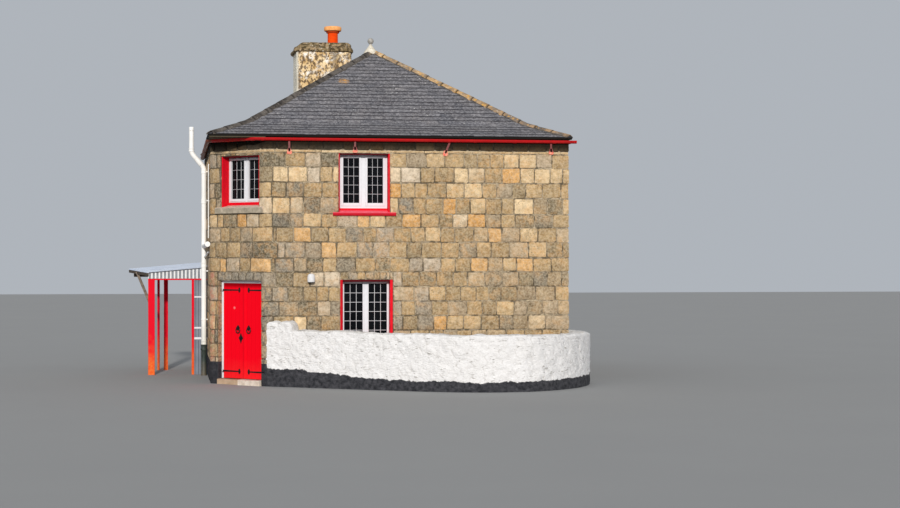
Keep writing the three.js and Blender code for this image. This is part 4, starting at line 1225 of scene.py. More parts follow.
def rounded_rectangle(x, y, radius, each=26):
    """Points round a rectangle with quarter-circle corners, evenly spread by length, anticlockwise."""
    turn = np.linspace(0, math.pi / 2, 9)
    centres = [(x[1] - radius, y[1] - radius, 0), (x[0] + radius, y[1] - radius, 1),
               (x[0] + radius, y[0] + radius, 2), (x[1] - radius, y[0] + radius, 3)]
    arcs = [[(cx + radius * math.cos(a), cy + radius * math.sin(a)) for a in turn + k * math.pi / 2]
            for cx, cy, k in centres]
    line = np.vstack([*arcs, arcs[0][:1]])
    return at_lengths(line, np.linspace(0, lengths_along(line)[-1], each * 4, endpoint=False))


def wrapped(x, y, radius, levels, uneven, seed):
    """A closed form round a rounded rectangle. levels holds (height, how far out); the surface moves by
    uneven * (waves of 0.5, 0.16 and 0.05 m) away from the middle line, and a fan closes each end."""
    middle = np.array([(x[0] + x[1]) / 2, (y[0] + y[1]) / 2])
    rings = []
    for height, out in levels:
        plan = (x[0] - out, x[1] + out), (y[0] - out, y[1] + out)
        ring = rounded_rectangle(*plan, max(radius + out, 0.02))
        rings.append(np.column_stack([ring, np.full(len(ring), height)]))
    points = np.array(rings)
    m, k = points.shape[:2]
    flat = points.reshape(-1, 3)
    away = unit(flat[:, :2] - middle)
    waves = sum(share * ripple(flat, length, seed + i)
                for i, (share, length) in enumerate(((0.6, 0.5), (0.35, 0.16), (0.2, 0.05))))
    lifted = 0.6 * uneven * waves * (flat[:, 2] > 7.3)
    flat = flat + np.column_stack([away * (uneven * waves)[:, None], lifted])
    ends = np.array([[*middle, levels[0][0]], [*middle, levels[-1][0]]])
    i = np.arange(k)
    fans = [np.stack([np.full(k, m * k), (i + 1) % k, i], 1),
            np.stack([np.full(k, m * k + 1), (m - 1) * k + i, (m - 1) * k + (i + 1) % k], 1)]
    return np.vstack([flat, ends]), [grid_faces(m, k, wrap_columns=True), *fans]


# %% Chimney finishes
POT_AT, POT_TOP = (-0.797, 1.200), 8.010
POT_RING = POT_TOP - 0.108


def make_render():
    """Old render: yellow and cream clouds, broken into flakes by dark scaly growth, with bare white
    spots and a dark run below the pot. The side that looks left is pale cream, as painted light."""
    finish = Finish("stained_render", 0.95, Specular_IOR_Level=0.2)
    base = finish.mix(finish.mottle(0.22, 3.4), (0.60, 0.38, 0.15), (0.90, 0.70, 0.42))
    flakes = finish.mottle(0.060, 14.0, finish.stretched(1, 1, 0.65))
    scaly = finish.mix(finish.times(flakes, 0.90), base, (0.115, 0.072, 0.042))
    bare = finish.times(finish.mottle(0.045, 12.0), finish.ranged(finish.mottle(0.25), 0.4, 0.8))
    white = finish.mix(bare, scaly, (0.95, 0.90, 0.82))
    x, _, z = finish.xyz()
    off = finish.math("ABSOLUTE", finish.math("ADD", x, 0.80))
    run = finish.times(finish.ranged(off, 0.13, 0.03), finish.ranged(z, 6.7, 7.3))
    stained = finish.mix(finish.times(run, 0.72), white, (0.17, 0.13, 0.085))
    # Painted light: the face that looks left is paler cream.
    lit_left_colour = finish.mix(finish.mottle(0.3, 2.0), (0.84, 0.76, 0.60), (0.95, 0.90, 0.78))
    left = finish.ranged(x, -1.625, -1.665)
    return finish.finished(finish.mix(left, stained, lit_left_colour), 0.035, 0.012, 0.5)


def make_cap_stone():
    """Dark weathered cement with olive moss and pale grey growth."""
    finish = Finish("weathered_cap", 0.95, Specular_IOR_Level=0.2)
    base = finish.mix(finish.mottle(0.075, 7.0), (0.065, 0.043, 0.022), (0.42, 0.30, 0.17))
    olive = finish.mix(finish.mottle(0.2, 4, by=0.50), base, (0.120, 0.095, 0.036))
    pale = finish.mix(finish.lichen(0.07, 0.62, by=0.75), olive, (0.62, 0.56, 0.46))
    return finish.finished(pale, 0.05, 0.016, 0.6)


def make_clay():
    """Bright red terracotta, with a paler orange rim above a ring of painted shade."""
    finish = Finish("terracotta", 0.85, Specular_IOR_Level=0.05)
    red = finish.mix(finish.mottle(0.09, 2.2), (0.72, 0.042, 0.003), (0.85, 0.092, 0.008))
    height = finish.xyz()[2]
    pale = finish.mix(finish.mottle(0.06, 2.6), (0.80, 0.30, 0.10), (0.98, 0.52, 0.20))
    rimmed = finish.mix(finish.ranged(height, POT_RING, POT_RING + 0.012), red, pale)
    # Painted shade: a dark ring just under the rim.
    ring = finish.times(finish.ranged(height, POT_RING - 0.048, POT_RING - 0.040),
                        finish.ranged(height, POT_RING + 0.008, POT_RING))
    return finish.finished(finish.mix(finish.times(ring, 0.7), rimmed, (0.20, 0.045, 0.015)), 0.02, 0.003)


# %% Build the chimney
RENDER, CAP_STONE, CLAY = make_render(), make_cap_stone(), make_clay()
stack_levels = [(z, 0.0) for z in (0.15, 2.0, 4.0, *np.linspace(5.4, 7.355, 62))]
inner_x, inner_y = ((low + 0.006, high - 0.006) for low, high in (STACK_X, STACK_Y))
make_piece("chimney_render", *wrapped(inner_x, inner_y, 0.13, stack_levels, 0.009, 20), RENDER, "render",
           stands_for=["chimney_stack"], sharp=70)
cap_levels = [(7.358, -0.10), (7.359, -0.01), (7.363, 0.030), (7.374, 0.042), (7.392, 0.046),
              (7.415, 0.044), (7.438, 0.034), (7.452, 0.014), (7.470, -0.016), (7.498, -0.050),
              (7.530, -0.085), (7.558, -0.118), (7.582, -0.155), (7.596, -0.21), (7.600, -0.30),
              (7.601, -0.42)]
cap_points, cap_faces = wrapped(STACK_X, STACK_Y, 0.15, cap_levels, 0.016, 25)
# The crown runs out flatter to the right, where the cap is thicker
from_middle = cap_points[:, 0] - sum(STACK_X) / 2
cap_points[:, 0] += 0.16 * np.maximum(from_middle, 0) * smooth_step(cap_points[:, 2], 7.43, 7.56)
make_piece("chimney_cap_slab", cap_points, cap_faces, CAP_STONE, "render", stands_for=["chimney_cap"],
           sharp=70)


def pot():
    """A ring profile: the shaft with a bead at its foot, a small ring, the flared band and the rolled
    rim outside, then straight down inside. Heights are measured down from the rim's top."""
    outer = [(0.125, 0.415), (0.129, 0.395), (0.123, 0.370), (0.120, 0.340), (0.119, 0.240),
             (0.119, 0.160), (0.128, 0.154), (0.148, 0.146), (0.154, 0.130), (0.150, 0.114),
             (0.166, 0.108), (0.190, 0.103), (0.200, 0.092), (0.203, 0.060), (0.202, 0.030),
             (0.197, 0.012), (0.186, 0.002), (0.165, 0.0)]
    inner = [(0.140, 0.004), (0.112, 0.020), (0.100, 0.070), (0.097, 0.250), (0.097, 0.415)]
    return turned([(r, POT_TOP - down) for r, down in outer + inner], POT_AT, 44, ring=True)


make_piece("chimney_pot_turned", *pot(), CLAY, "clay", stands_for=["chimney_pot"], sharp=45)


def stack_fillet():
    """A mortar fillet where the stack leaves the slates: at each point round the stack its profile runs
    from 0.12 m up the render to 0.09 m out on the slates, at the roof's height there."""
    ring = rounded_rectangle(STACK_X, STACK_Y, 0.12, 40)
    away = unit(ring - ring.mean(0))
    steps = [(-0.02, 0.13), (0.012, 0.125), (0.03, 0.07), (0.065, 0.035), (0.10, 0.024), (0.105, 0.0),
             (-0.02, 0.0)]
    rows = []
    for out, lift in steps:
        plan = ring + away * out
        rows.append(np.column_stack([plan, roof_height(np.abs(plan).max(1)) + lift]))
    points = np.array(rows).reshape(-1, 3)
    points[:, 2] += 0.006 * ripple(points, 0.12, 31)
    return facing_out((points, [grid_faces(len(steps), len(ring), wrap_rows=True, wrap_columns=True)]))


make_piece("chimney_fillet", *stack_fillet(), HIP_MORTAR, "mortar")
print("chimney built")

# %% [markdown]
# ## More ways to a shape
# Ironwork, boards and trim are flat shapes with a thickness. Each is an outline drawn once and
# given a height, laid down as a prism or stood up against a wall as a plate. Slabs and sheets are
# two grids with their edges closed, and knobs are turned forms that look out of the wall. Pipes
# are a circle carried along a path whose corners have been eased into bends.

# %% Prisms, plates and bends
def prism_faces(k):
    """The faces of a prism whose k lower points come first, then the k upper ones."""
    i = np.arange(k)
    return [np.stack([i, (i + 1) % k, k + (i + 1) % k, k + i], 1), i[::-1][None], k + i[None]]


def prism(outline, low, high):
    """An anticlockwise outline (k, 2) drawn up from one height to another."""
    outline = np.asarray(outline, float)
    k = len(outline)
    points = np.vstack([np.column_stack([outline, np.full(k, z)]) for z in (low, high)])
    return facing_out((points, prism_faces(k)))


def slab_of(top, under):
    """Two grids of the same size as the two faces of a slab or sheet, with its edges closed."""
    rows, columns = top.shape[:2]
    n = rows * columns
    points = np.vstack([top.reshape(-1, 3), under.reshape(-1, 3)])
    number = np.arange(n).reshape(rows, columns)
    edge = np.concatenate([number[0, :-1], number[:-1, -1], number[-1, :0:-1], number[:0:-1, 0]])
    skirt = np.stack([np.roll(edge, -1), edge, edge + n, np.roll(edge, -1) + n], 1)
    faces = grid_faces(rows, columns)
    return facing_out((points, [np.vstack([faces, faces[:, ::-1] + n, skirt])]))


def stood_up(shape, at=(0, 0, 0)):
    """Tips a shape forward so that its top looks out of the wall: (x, y, z) goes to (x, -z, y), then
    to a place."""
    p, faces = shape
    return np.stack([p[:, 0] + at[0], at[1] - p[:, 2], at[2] + p[:, 1]], 1), faces


def turned_out(profile, sides, at):
    """A turned form, such as a knob, whose axis looks out of the wall."""
    return stood_up(turned(profile, (0, 0), sides), at)


def plate(outline, front, back):
    """An outline in (x, z) as a plate on a wall, from depth front to depth back."""
    return stood_up(prism(outline, -back, -front))


def eased_path(corners, radius):
    """A path through straight runs whose corners are curves (1-t)^2 a + 2t(1-t) b + t^2 c."""
    corners = np.asarray(corners, float)
    line = [corners[0]]
    for before, at, after in zip(corners[:-2], corners[1:-1], corners[2:]):
        a, c = at + unit(before - at) * radius, at + unit(after - at) * radius
        t = np.linspace(0, 1, 7)[:, None]
        line.extend((1 - t) ** 2 * a + 2 * t * (1 - t) * at + t ** 2 * c)
    return np.array([*line, corners[-1]])


def make_paint(name, colour, soil, roughness, worn):
    """Brushed gloss paint: slightly chalked in clouds, soiled in specks, with faint brush relief."""
    finish = Finish(name, roughness, Specular_IOR_Level=0.2)
    chalky = tuple(min(1.0, 0.90 * v + 0.03) for v in colour)
    faded = finish.mix(finish.mottle(0.4, 2.2, by=0.3), colour, chalky)
    soiled = finish.mix(finish.mottle(0.07, 4.5, by=worn), faded, soil)
    rough = finish.ranged(finish.mottle(0.12), 0, 1, roughness - 0.08, roughness + 0.18)
    return finish.finished(soiled, 0.03, 0.0010, 0.6, roughness=rough)


# %% [markdown]
# ## The gutters
# A half-round gutter is one channel section carried along the eaves, mitred where the wall turns.
# Its lip is rolled outwards. Sleeves mark the joints, and flat straps hold it to the frieze. The
# straps are dark red with painted shade above the line where the gutter's shadow ends, and paler
# orange-pink below it, at their feet, as painted light.

# %% Gutter finish
def make_gutter_red():
    """Red gloss, worn through to brown rust along the left wall, where nobody reaches it."""
    finish = Finish("gutter_red", 0.40, Specular_IOR_Level=0.15)
    red = finish.mix(finish.mottle(0.3, 2.5, by=0.35), (0.48, 0.006, 0.009), (0.58, 0.026, 0.026))
    x, y, _ = finish.xyz()
    neglected = finish.ranged(x, -3.67, -3.73)
    behind = finish.ranged(y, 3.70, 3.73)
    rusty = finish.mix(finish.mottle(0.14, 3.0), (0.090, 0.036, 0.020), (0.24, 0.085, 0.045))
    aged = finish.mix(finish.times(neglected, 0.92), red, rusty)
    aged = finish.mix(finish.times(behind, 0.55), aged, rusty)
    soiled = finish.mix(finish.mottle(0.06, 4.5, by=0.22), aged, (0.10, 0.02, 0.016))
    return finish.finished(soiled, 0.03, 0.0012)


GUTTER_RED = make_gutter_red()
GUTTER_TOP, GUTTER_RADIUS, GUTTER_OFF = 5.068, 0.054, 0.0555


def gutter_section(radius, wall):
    """Outer half circle, a rolled lip of 6 mm on the outer edge, and the inner half circle back."""
    out = np.linspace(math.pi, 2 * math.pi, 17)
    roll = np.radians(np.linspace(-50, 190, 7))
    back = np.linspace(2 * math.pi, math.pi, 15)
    outer = radius * np.stack([np.cos(out), np.sin(out)], 1)
    lip = [radius - wall / 2, 0.002] + 0.006 * np.stack([np.cos(roll), np.sin(roll)], 1)
    inner = (radius - wall) * np.stack([np.cos(back), np.sin(back)], 1)
    return np.vstack([outer[:-1], lip, inner[1:]])


def gutter_run(path, sleeves):
    """The channel, a half-disc stop at each end, and a sleeve round each joint at a point with a way."""
    path = np.column_stack([path, np.full(len(path), GUTTER_TOP)])
    shapes = [carried(gutter_section(GUTTER_RADIUS, 0.005), path)]
    turn = np.linspace(math.pi, 2 * math.pi, 17)
    disc = 0.053 * np.stack([np.cos(turn), np.sin(turn)], 1)
    for end, inward in ((path[0], path[1]), (path[-1], path[-2])):
        way = unit(inward - end)
        shapes.append(facing_out(carried(disc, [end + 0.001 * way, end + 0.006 * way])))
    for at, way in sleeves:
        at, way = np.array([*at, GUTTER_TOP]), np.array([*way, 0.0])
        half = gutter_section(GUTTER_RADIUS + 0.006, 0.006)
        shapes.append(carried(half, [at - 0.035 * way, at + 0.035 * way]))
    return joined(*shapes)


# %% Build the gutters
out = HALF + GUTTER_OFF
BEND = 6.590 - out              # the run across the corner hangs farther out, on the line x + y = -6.590
s45 = math.sqrt(0.5)
front_line = [[-out, 3.70], [-out, -BEND], [-BEND, -out], [3.865, -out]]
front_sleeves = [((x, -out), (1, 0)) for x in (-2.68, 1.163, 1.72, 2.545, 3.387)]
front_sleeves += [((x, -6.590 - x), (s45, -s45)) for x in (-3.354, -2.880)] + [((-out, 0.6), (0, -1))]
make_piece("gutter_front_channel", *gutter_run(front_line, front_sleeves), GUTTER_RED, "red_trim",
           stands_for=["gutter_front_and_left"])
back_line = np.array([[out, -3.58], [out, out], [-3.55, out]])
back_sleeves = [((out, 0.4), (0, 1)), ((0.3, out), (-1, 0))]
make_piece("gutter_back_channel", *gutter_run(back_line, back_sleeves), GUTTER_RED, "red_trim",
           stands_for=["gutter_back_and_right"])


# %% The gutter straps
def strap(x_top, x_foot, foot):
    """A flat iron from behind the gutter down the frieze, with a splayed foot."""
    y = -0.027
    iron = bar_between([x_top, y, 5.045], [x_foot, y, foot + 0.02], 0.042, 0.008, 0.002)
    spread = np.array([[-0.030, 0.090], [-0.052, -0.002], [-0.040, -0.028], [0.034, -0.034], [0.056, -0.006],
                       [0.028, 0.090]]) + [x_foot, foot]
    return joined(iron, plate(spread, y - 0.004, y + 0.006))


def make_strap_paint():
    """Painted shade and light: dark red above, under the gutter, and a paler orange-pink foot below."""
    finish = Finish("strap_paint", 0.5)
    height = finish.xyz()[2]
    # Painted light and shade: dark red above a ragged line near z 4.86, paler orange-pink below it.
    worn = finish.math("ADD", height, finish.mottle(0.05, 2.0, by=0.05))
    low = finish.ranged(worn, 4.875, 4.845)
    red = finish.mix(finish.mottle(0.05, 3.0), (0.11, 0.006, 0.007), (0.22, 0.012, 0.012))
    lit_red = finish.mix(finish.mottle(0.04, 4.0), (0.72, 0.07, 0.035), (0.78, 0.32, 0.20))
    return finish.finished(finish.mix(low, red, lit_red), 0.02, 0.002)


STRAP_PAINT = make_strap_paint()
STRAPS = ((-0.787, -0.787, 4.815), (-2.14, -2.135, 4.775), (1.195, 1.09, 4.765), (3.33, 3.33, 4.815))
straps = joined(*[strap(*at) for at in STRAPS])
make_piece("gutter_straps", *on_wall("front", straps), STRAP_PAINT, "red_trim")
print("gutters with", len(front_sleeves) + len(back_sleeves), "sleeves and", len(STRAPS), "straps")

# %% [markdown]
# ## The windows
# Every window has the same parts: a red lining in the stone opening, a white frame with two
# casements standing a little proud of it, slender glazing bars, and a sill that slopes out to a
# rounded nose. One function makes them all from a list of widths, so that the windows of the
# unseen walls are the same as those in view.

# %% Window finishes
def make_sill(name, slope, nose, soil):
    """Two tones, each a pair of colours in clouds: a paler one on the slope, where the mark is 1, as
    painted light on the top, and one below.
    """
    finish = Finish(name, 0.45, Specular_IOR_Level=0.15)
    clouds = finish.mottle(0.09, 3.0)
    two = finish.mix(finish.mark("slope"), finish.mix(clouds, *nose), finish.mix(clouds, *slope))
    soiled = finish.mix(finish.mottle(0.05, 4.5, by=0.25), two, soil)
    return finish.finished(soiled, 0.03, 0.0015, 0.5)


def make_lining_red():
    """Crimson gloss. Where the mark is 1, along the head that the stones shade, it is a dark maroon."""
    finish = Finish("lining_red", 0.45, Specular_IOR_Level=0.06)
    faded = finish.mix(finish.mottle(0.4, 2.2, by=0.3), (0.74, 0.002, 0.016), (0.68, 0.03, 0.04))
    soiled = finish.mix(finish.mottle(0.07, 4.5, by=0.14), faded, (0.26, 0.006, 0.010))
    shaded = finish.mix(finish.mark("shade"), soiled, (0.12, 0.30, 0.25), "MULTIPLY")
    return finish.finished(shaded, 0.03, 0.0010, 0.6)


WHITE_PAINT = make_paint("white_frame_paint", (0.71, 0.715, 0.755), (0.46, 0.45, 0.44), 0.40, 0.14)
LINING_RED = make_lining_red()
# Painted light: the pale pink and cream tones on the slopes stand for the lit tops of the sills.
SILL_RED = make_sill("sill_crimson", ((1.0, 0.090, 0.150), (0.98, 0.14, 0.21)),
                     ((0.60, 0.004, 0.020), (0.46, 0.004, 0.016)), (0.42, 0.05, 0.06))
SILL_STONE = make_sill("sill_stone", ((0.80, 0.66, 0.54), (0.62, 0.46, 0.38)),
                       ((0.30, 0.26, 0.20), (0.50, 0.43, 0.33)), (0.16, 0.13, 0.09))


def make_glass():
    """Old panes before a dark room: almost black, a touch lighter in clouds, and not quite flat."""
    finish = Finish("dark_panes", 0.08, IOR=1.5, Specular_IOR_Level=0.08)
    deep = finish.mix(finish.mottle(0.5, 2.5), (0.0015, 0.002, 0.003), (0.006, 0.007, 0.009))
    return finish.finished(deep, 0.35, 0.0015, 0.1)


GLASS = make_glass()
STYLES = {
    "upper": dict(lining=(0.024, 0.034), head=0.030, foot=0.046, frame=(0.044, 0.050, 0.022), stile=0.046,
                  rails=(0.063, 0.036), mullion=0.080, columns=3, rows=5, bar=0.007, shade=0.3),
    "lower": dict(lining=(0.054, 0.058), head=0.045, foot=0.036, frame=(0.008, 0.006, 0.004), stile=0.038,
                  rails=(0.030, 0.036), mullion=0.048, columns=3, rows=6, bar=0.009, shade=0.3),
    "corner": dict(lining=(0.030, 0.030), head=0.030, foot=0.064, frame=(0.030, 0.025, 0.014), stile=0.042,
                   rails=(0.050, 0.036), mullion=0.044, columns=3, rows=4, bar=0.006, shade=0),
}
FACE_OF_FRAME, FACE_OF_SASH, BACK_OF_FRAME = 0.205, 0.190, 0.2450


# %% Window parts
def window_lining(w, style):
    """Boards on both cheeks and the head of the opening, and a strip under the frame. The mark says how
    much the stones shade each board."""
    x0, x1 = sides_of(w)
    z0, z1, (left, right) = w["sill"], w["head"], style["lining"]
    foot = z0 - 0.055
    boards = [([x0 + HAIR, 0.016, foot], [x0 + left, 0.246, z1 - HAIR]),
              ([x1 - right, 0.016, foot], [x1 - HAIR, 0.246, z1 - HAIR]),
              ([x0 + left, 0.018, z1 - style["head"]], [x1 - right, 0.246, z1 - HAIR]),
              ([x0 + left, 0.182, z0 + 0.003], [x1 - right, 0.246, z0 + style["foot"]])]
    points, faces = blocks(*zip(*boards), 0.004)
    return on_wall(w["face"], (points, faces)), {"shade": np.repeat([style["shade"], 0, 1, 0], 24)}


def window_casements(w, style):
    """The fixed frame with its mullion, the two proud casements, and their bars evenly spaced."""
    (left, right), (side, low, high), stile = style["lining"], style["frame"], style["stile"]
    x0, x1 = sides_of(w)
    x0, x1 = x0 + left, x1 - right
    z0, z1 = w["sill"] + style["foot"], w["head"] - style["head"]
    middle, half = w["at"], style["mullion"] / 2
    lap = 0.008
    y0, y1, proud = FACE_OF_FRAME, BACK_OF_FRAME, FACE_OF_SASH
    wood = [([x0, y0, z0], [x0 + side + lap, y1, z1]), ([x1 - side - lap, y0, z0], [x1, y1, z1]),
            ([x0, y0 + 0.001, z0], [x1, y1, z0 + low + lap]),
            ([x0, y0 + 0.001, z1 - high - lap], [x1, y1, z1]),
            ([middle - half - lap, y0, z0], [middle + half + lap, y1, z1])]
    bars, thin = [], style["bar"] / 2
    for a, b in ((x0 + side, middle - half), (middle + half, x1 - side)):
        c, d = z0 + low, z1 - high
        foot, top = style["rails"]
        p, q, r, s = a + stile, b - stile, c + foot, d - top
        wood += [([a, proud, c], [p, 0.240, d]), ([q, proud, c], [b, 0.240, d]),
                 ([p, proud + 0.001, c], [q, 0.240, r]), ([p, proud + 0.001, s], [q, 0.240, d])]
        for at in np.linspace(p, q, style["columns"] + 1)[1:-1]:
            bars.append(([at - thin, 0.234, r], [at + thin, 0.2445, s]))
        for at in np.linspace(r, s, style["rows"] + 1)[1:-1]:
            bars.append(([p, 0.2345, at - thin], [q, 0.2445, at + thin]))
    return joined(blocks(*zip(*wood), 0.004), blocks(*zip(*bars), 0.003))


SILL_EAR, SILL_OUT = 0.120, 0.070       # how far a sill passes the opening, and stands out of the wall


def window_sill(w, height):
    """A slope from the frame to a rounded nose, carried along the wall. Its middle reaches back into the
    opening and its ears pass it. The mark is 1 on the slope."""
    out = SILL_OUT
    top, nose, bed, foot = (w["sill"] + up for up in (0.008, -0.050, 0.0005 - SILL_BED, -height))
    turn = np.radians(np.linspace(75, -20, 6))
    front = np.stack([out - 0.014 + 0.014 * np.cos(turn), nose - 0.014 + 0.014 * np.sin(turn)], 1)
    under = [[out - 0.004, foot + 0.006], [out - 0.010, foot], [out - 0.026, foot],
             [out - 0.028, foot + 0.006], [out - 0.034, foot + 0.006], [out - 0.036, foot], [0.0005, foot]]
    rise = (top - nose) / (0.1985 + out)
    middle = [[0.0005, bed], [-0.1985, bed], [-0.1985, top], *front, *under]
    ear = [[0.0005, nose + rise * out], *front, *under]
    x0, x1 = sides_of(w)
    ends = ((ear, x0 - SILL_EAR, x0 + 0.001), (middle, x0 + 0.001, x1 - 0.001),
            (ear, x1 - 0.001, x1 + SILL_EAR))
    points, faces = joined(*[facing_out(carried(s, [[a, 0, 0], [b, 0, 0]])) for s, a, b in ends])
    return on_wall(w["face"], (points, faces)), {"slope": (points[:, 2] > w["sill"] - 0.054).astype(float)}


# %% Build the windows
for name, w in OPENINGS.items():
    kind = "corner" if "corner" in name else ("upper" if "upper" in name else "lower")
    style, seen, stone_sill = STYLES[kind], name + "_frame" in nodes, kind == "corner"
    casements = on_wall(w["face"], window_casements(w, style))
    make_piece(name + "_casements", *casements, WHITE_PAINT, "white_frame",
               stands_for=[name + "_frame" if seen else name])
    shape, marks = window_lining(w, style)
    make_piece(name + "_lining", *shape, LINING_RED, "red_trim", marks=marks)
    shape, marks = window_sill(w, 0.170 if stone_sill else 0.110)
    paint, slot = (SILL_STONE, "sill_stone") if stone_sill else (SILL_RED, "red_trim")
    make_piece(name + "_sloping_sill", *shape, paint, slot, stands_for=[name + "_sill"] if seen else [],
               marks=marks)
    if seen:
        dress(GLASS, name + "_glass")
    else:
        (x0, x1), inset = sides_of(w), 0.046
        low, high = w["sill"] + inset, w["head"] - inset
        pane = blocks([x0 + inset, 0.2455, low], [x1 - inset, 0.2515, high], 0.001)
        make_piece(name + "_panes", *on_wall(w["face"], pane), GLASS, "pane")
print(len(OPENINGS), "windows")

# %% [markdown]
# ## The entrance
# Two narrow leaves of tongued boards hang in a white frame. Their fine V-joints are cut into the
# outline of each leaf, which is then drawn up to its height. The straps, rings and latch are black
# iron, a few millimetres thick, and ride with the leaf that carries them.

# %% Door finishes
def along_corner(finish):
    """How far along the corner wall a point lies, to the right: (x - y) / root 2."""
    x, y, _ = finish.xyz()
    return finish.times(finish.math("SUBTRACT", x, y), math.sqrt(0.5))


def make_door_red():
    """Fresh pillar-box red: nearly even, with the grain of the boards just showing, dust at the foot,
    one pale worn spot on the left leaf, and a painted shadow under the head. Painted shade makes it
    dark where the leaves meet, at (x - y) / root 2 = 0.045, and it is dark in the joint of the boards
    every 0.110 to both sides."""
    finish = Finish("door_red", 0.45, Specular_IOR_Level=0.04)
    grain = finish.mottle(0.02, 2.0, finish.stretched(1, 1, 0.06))
    red = finish.mix(finish.times(grain, 0.16), (0.86, 0.0010, 0.011), (0.62, 0.0010, 0.010))
    faded = finish.mix(finish.mottle(0.35, 2.5, by=0.18), red, (0.86, 0.003, 0.014))
    dusty = finish.mix(finish.splash(0.45, 0.10, by=0.07), faded, (0.50, 0.20, 0.14))
    spot = finish.times(finish.near((-3.22, -2.93, 1.585), 0.034, 0.018), 0.38)
    # Painted shade: a dark line where the two leaves meet.
    off = finish.math("ABSOLUTE", finish.math("SUBTRACT", along_corner(finish), 0.045))
    seam = finish.mix(finish.times(finish.ranged(off, 0.011, 0.006), 0.85), dusty, (0.07, 0.001, 0.003))
    step = finish.math("PINGPONG", finish.math("SUBTRACT", off, 0.003), 0.055)
    lined = finish.mix(finish.times(finish.ranged(step, 0.008, 0.003), 0.18), seam, (0.30, 0.001, 0.006))
    # Painted shadow: the top of the leaves under the head is darkened.
    shade = finish.times(finish.ranged(finish.xyz()[2], 1.985, 2.055), 0.90)
    shaded = finish.mix(shade, lined, (0.28, 0.30, 0.30), "MULTIPLY")
    return finish.finished(finish.mix(spot, shaded, (0.80, 0.42, 0.42)), 0.02, 0.0012, 0.6,
                           place=finish.stretched(1, 1, 0.08))


def make_iron():
    """Black paint over hammered iron."""
    finish = Finish("black_iron", 0.42, Specular_IOR_Level=0.2)
    black = finish.mix(finish.mottle(0.03, 3.0), (0.004, 0.004, 0.005), (0.016, 0.014, 0.015))
    return finish.finished(black, 0.012, 0.0016, 0.5)


def make_threshold_stone():
    """Pale worn stone, with brown dirt in clouds. The slab on the left is browner."""
    finish = Finish("threshold_stone", 0.9)
    base = finish.mix(finish.mottle(0.10, 2.8), (0.62, 0.50, 0.40), (0.88, 0.78, 0.69))
    left = finish.ranged(along_corner(finish), 0.044, 0.042)
    base = finish.mix(left, base, (0.66, 0.54, 0.42), "MULTIPLY")
    soiled = finish.mix(finish.mottle(0.05, 5.0, by=0.35), base, (0.17, 0.125, 0.08))
    return finish.finished(soiled, 0.03, 0.006)


DOOR_RED, IRON, THRESHOLD_STONE = make_door_red(), make_iron(), make_threshold_stone()
LEAF_FACE, LEAF_BACK = 0.120, 0.156
IRON_FACE, IRON_BACK = 0.1145, 0.1205   # straps and plates lie on the boards
PIN_Y = 0.106
LEAF_LOW, LEAF_HIGH = 0.123, 2.095
LEAVES = {"left": (1, -0.508, 0.04225, 0.442), "right": (-1, 0.598, 0.04775, 0.398)}
HINGE_HEIGHTS = (0.268, 1.954)


# %% A boarded leaf
GROOVE = 0.008                  # the depth of a V-joint


def boarded(x0, x1, front, back, low, high, boards, back_in=(0.0, 0.0)):
    """A plan outline with a V-joint at each board's edge, drawn up to a height."""
    line = [[x0, front]]
    for at in np.linspace(x0, x1, boards + 1)[1:-1]:
        line += [[at - 0.003, front], [at, front + GROOVE], [at + 0.003, front]]
    line += [[x1, front], [x1 - back_in[1], back], [x0 + back_in[0], back]]
    return prism(line, low, high)


def spearhead(x, z, hand):
    """The fleur at the end of a strap: a pointed leaf above and below, drawn as r(a) round its middle."""
    turn = np.linspace(0, 2 * math.pi, 28, endpoint=False)
    reach = 0.023 + 0.024 * np.abs(np.sin(turn)) ** 3 + 0.008 * np.clip(hand * np.cos(turn), 0, 1) ** 4
    return np.stack([x + reach * np.cos(turn), z + 1.15 * reach * np.sin(turn)], 1)


def strap_iron(hand, edge, length, z):
    """A strap that tapers towards its fleur, and the eye that turns on the pin."""
    far = edge + hand * length
    near = edge + hand * 0.022
    band = [[near, z - 0.018], [far, z - 0.012], [far, z + 0.012], [near, z + 0.018]]
    dome = [(0, -0.002), (0.007, -0.002), (0.006, 0.002), (0.003, 0.0038), (0, 0.0042)]
    rivets = [turned_out(dome, 10, (edge + hand * at, 0.1138, z)) for at in (0.05, 0.17, 0.30)]
    button = [(0, -0.004), (0.016, -0.004), (0.014, 0.004), (0.008, 0.009), (0, 0.011)]
    knob = turned_out(button, 14, (far, 0.113, z))
    pin_x = edge - hand * 0.002
    tube = [(0.0053, z - 0.017), (0.010, z - 0.017), (0.010, z + 0.017), (0.0053, z + 0.017)]
    eye = turned(tube, (pin_x, PIN_Y), 20, ring=True)
    a, b = sorted((pin_x + hand * 0.0075, edge + hand * 0.027))
    c, d = sorted((edge + hand * 0.020, edge + hand * 0.030))
    arm = blocks([[a, 0.102, z - 0.017], [c, 0.102, z - 0.017]],
                 [[b, 0.110, z + 0.017], [d, 0.119, z + 0.017]], 0.001)
    return joined(plate(band if hand > 0 else band[::-1], IRON_FACE, IRON_BACK),
                  plate(spearhead(far, z, hand), 0.113, IRON_BACK), knob, *rivets, facing_out(eye), arm)


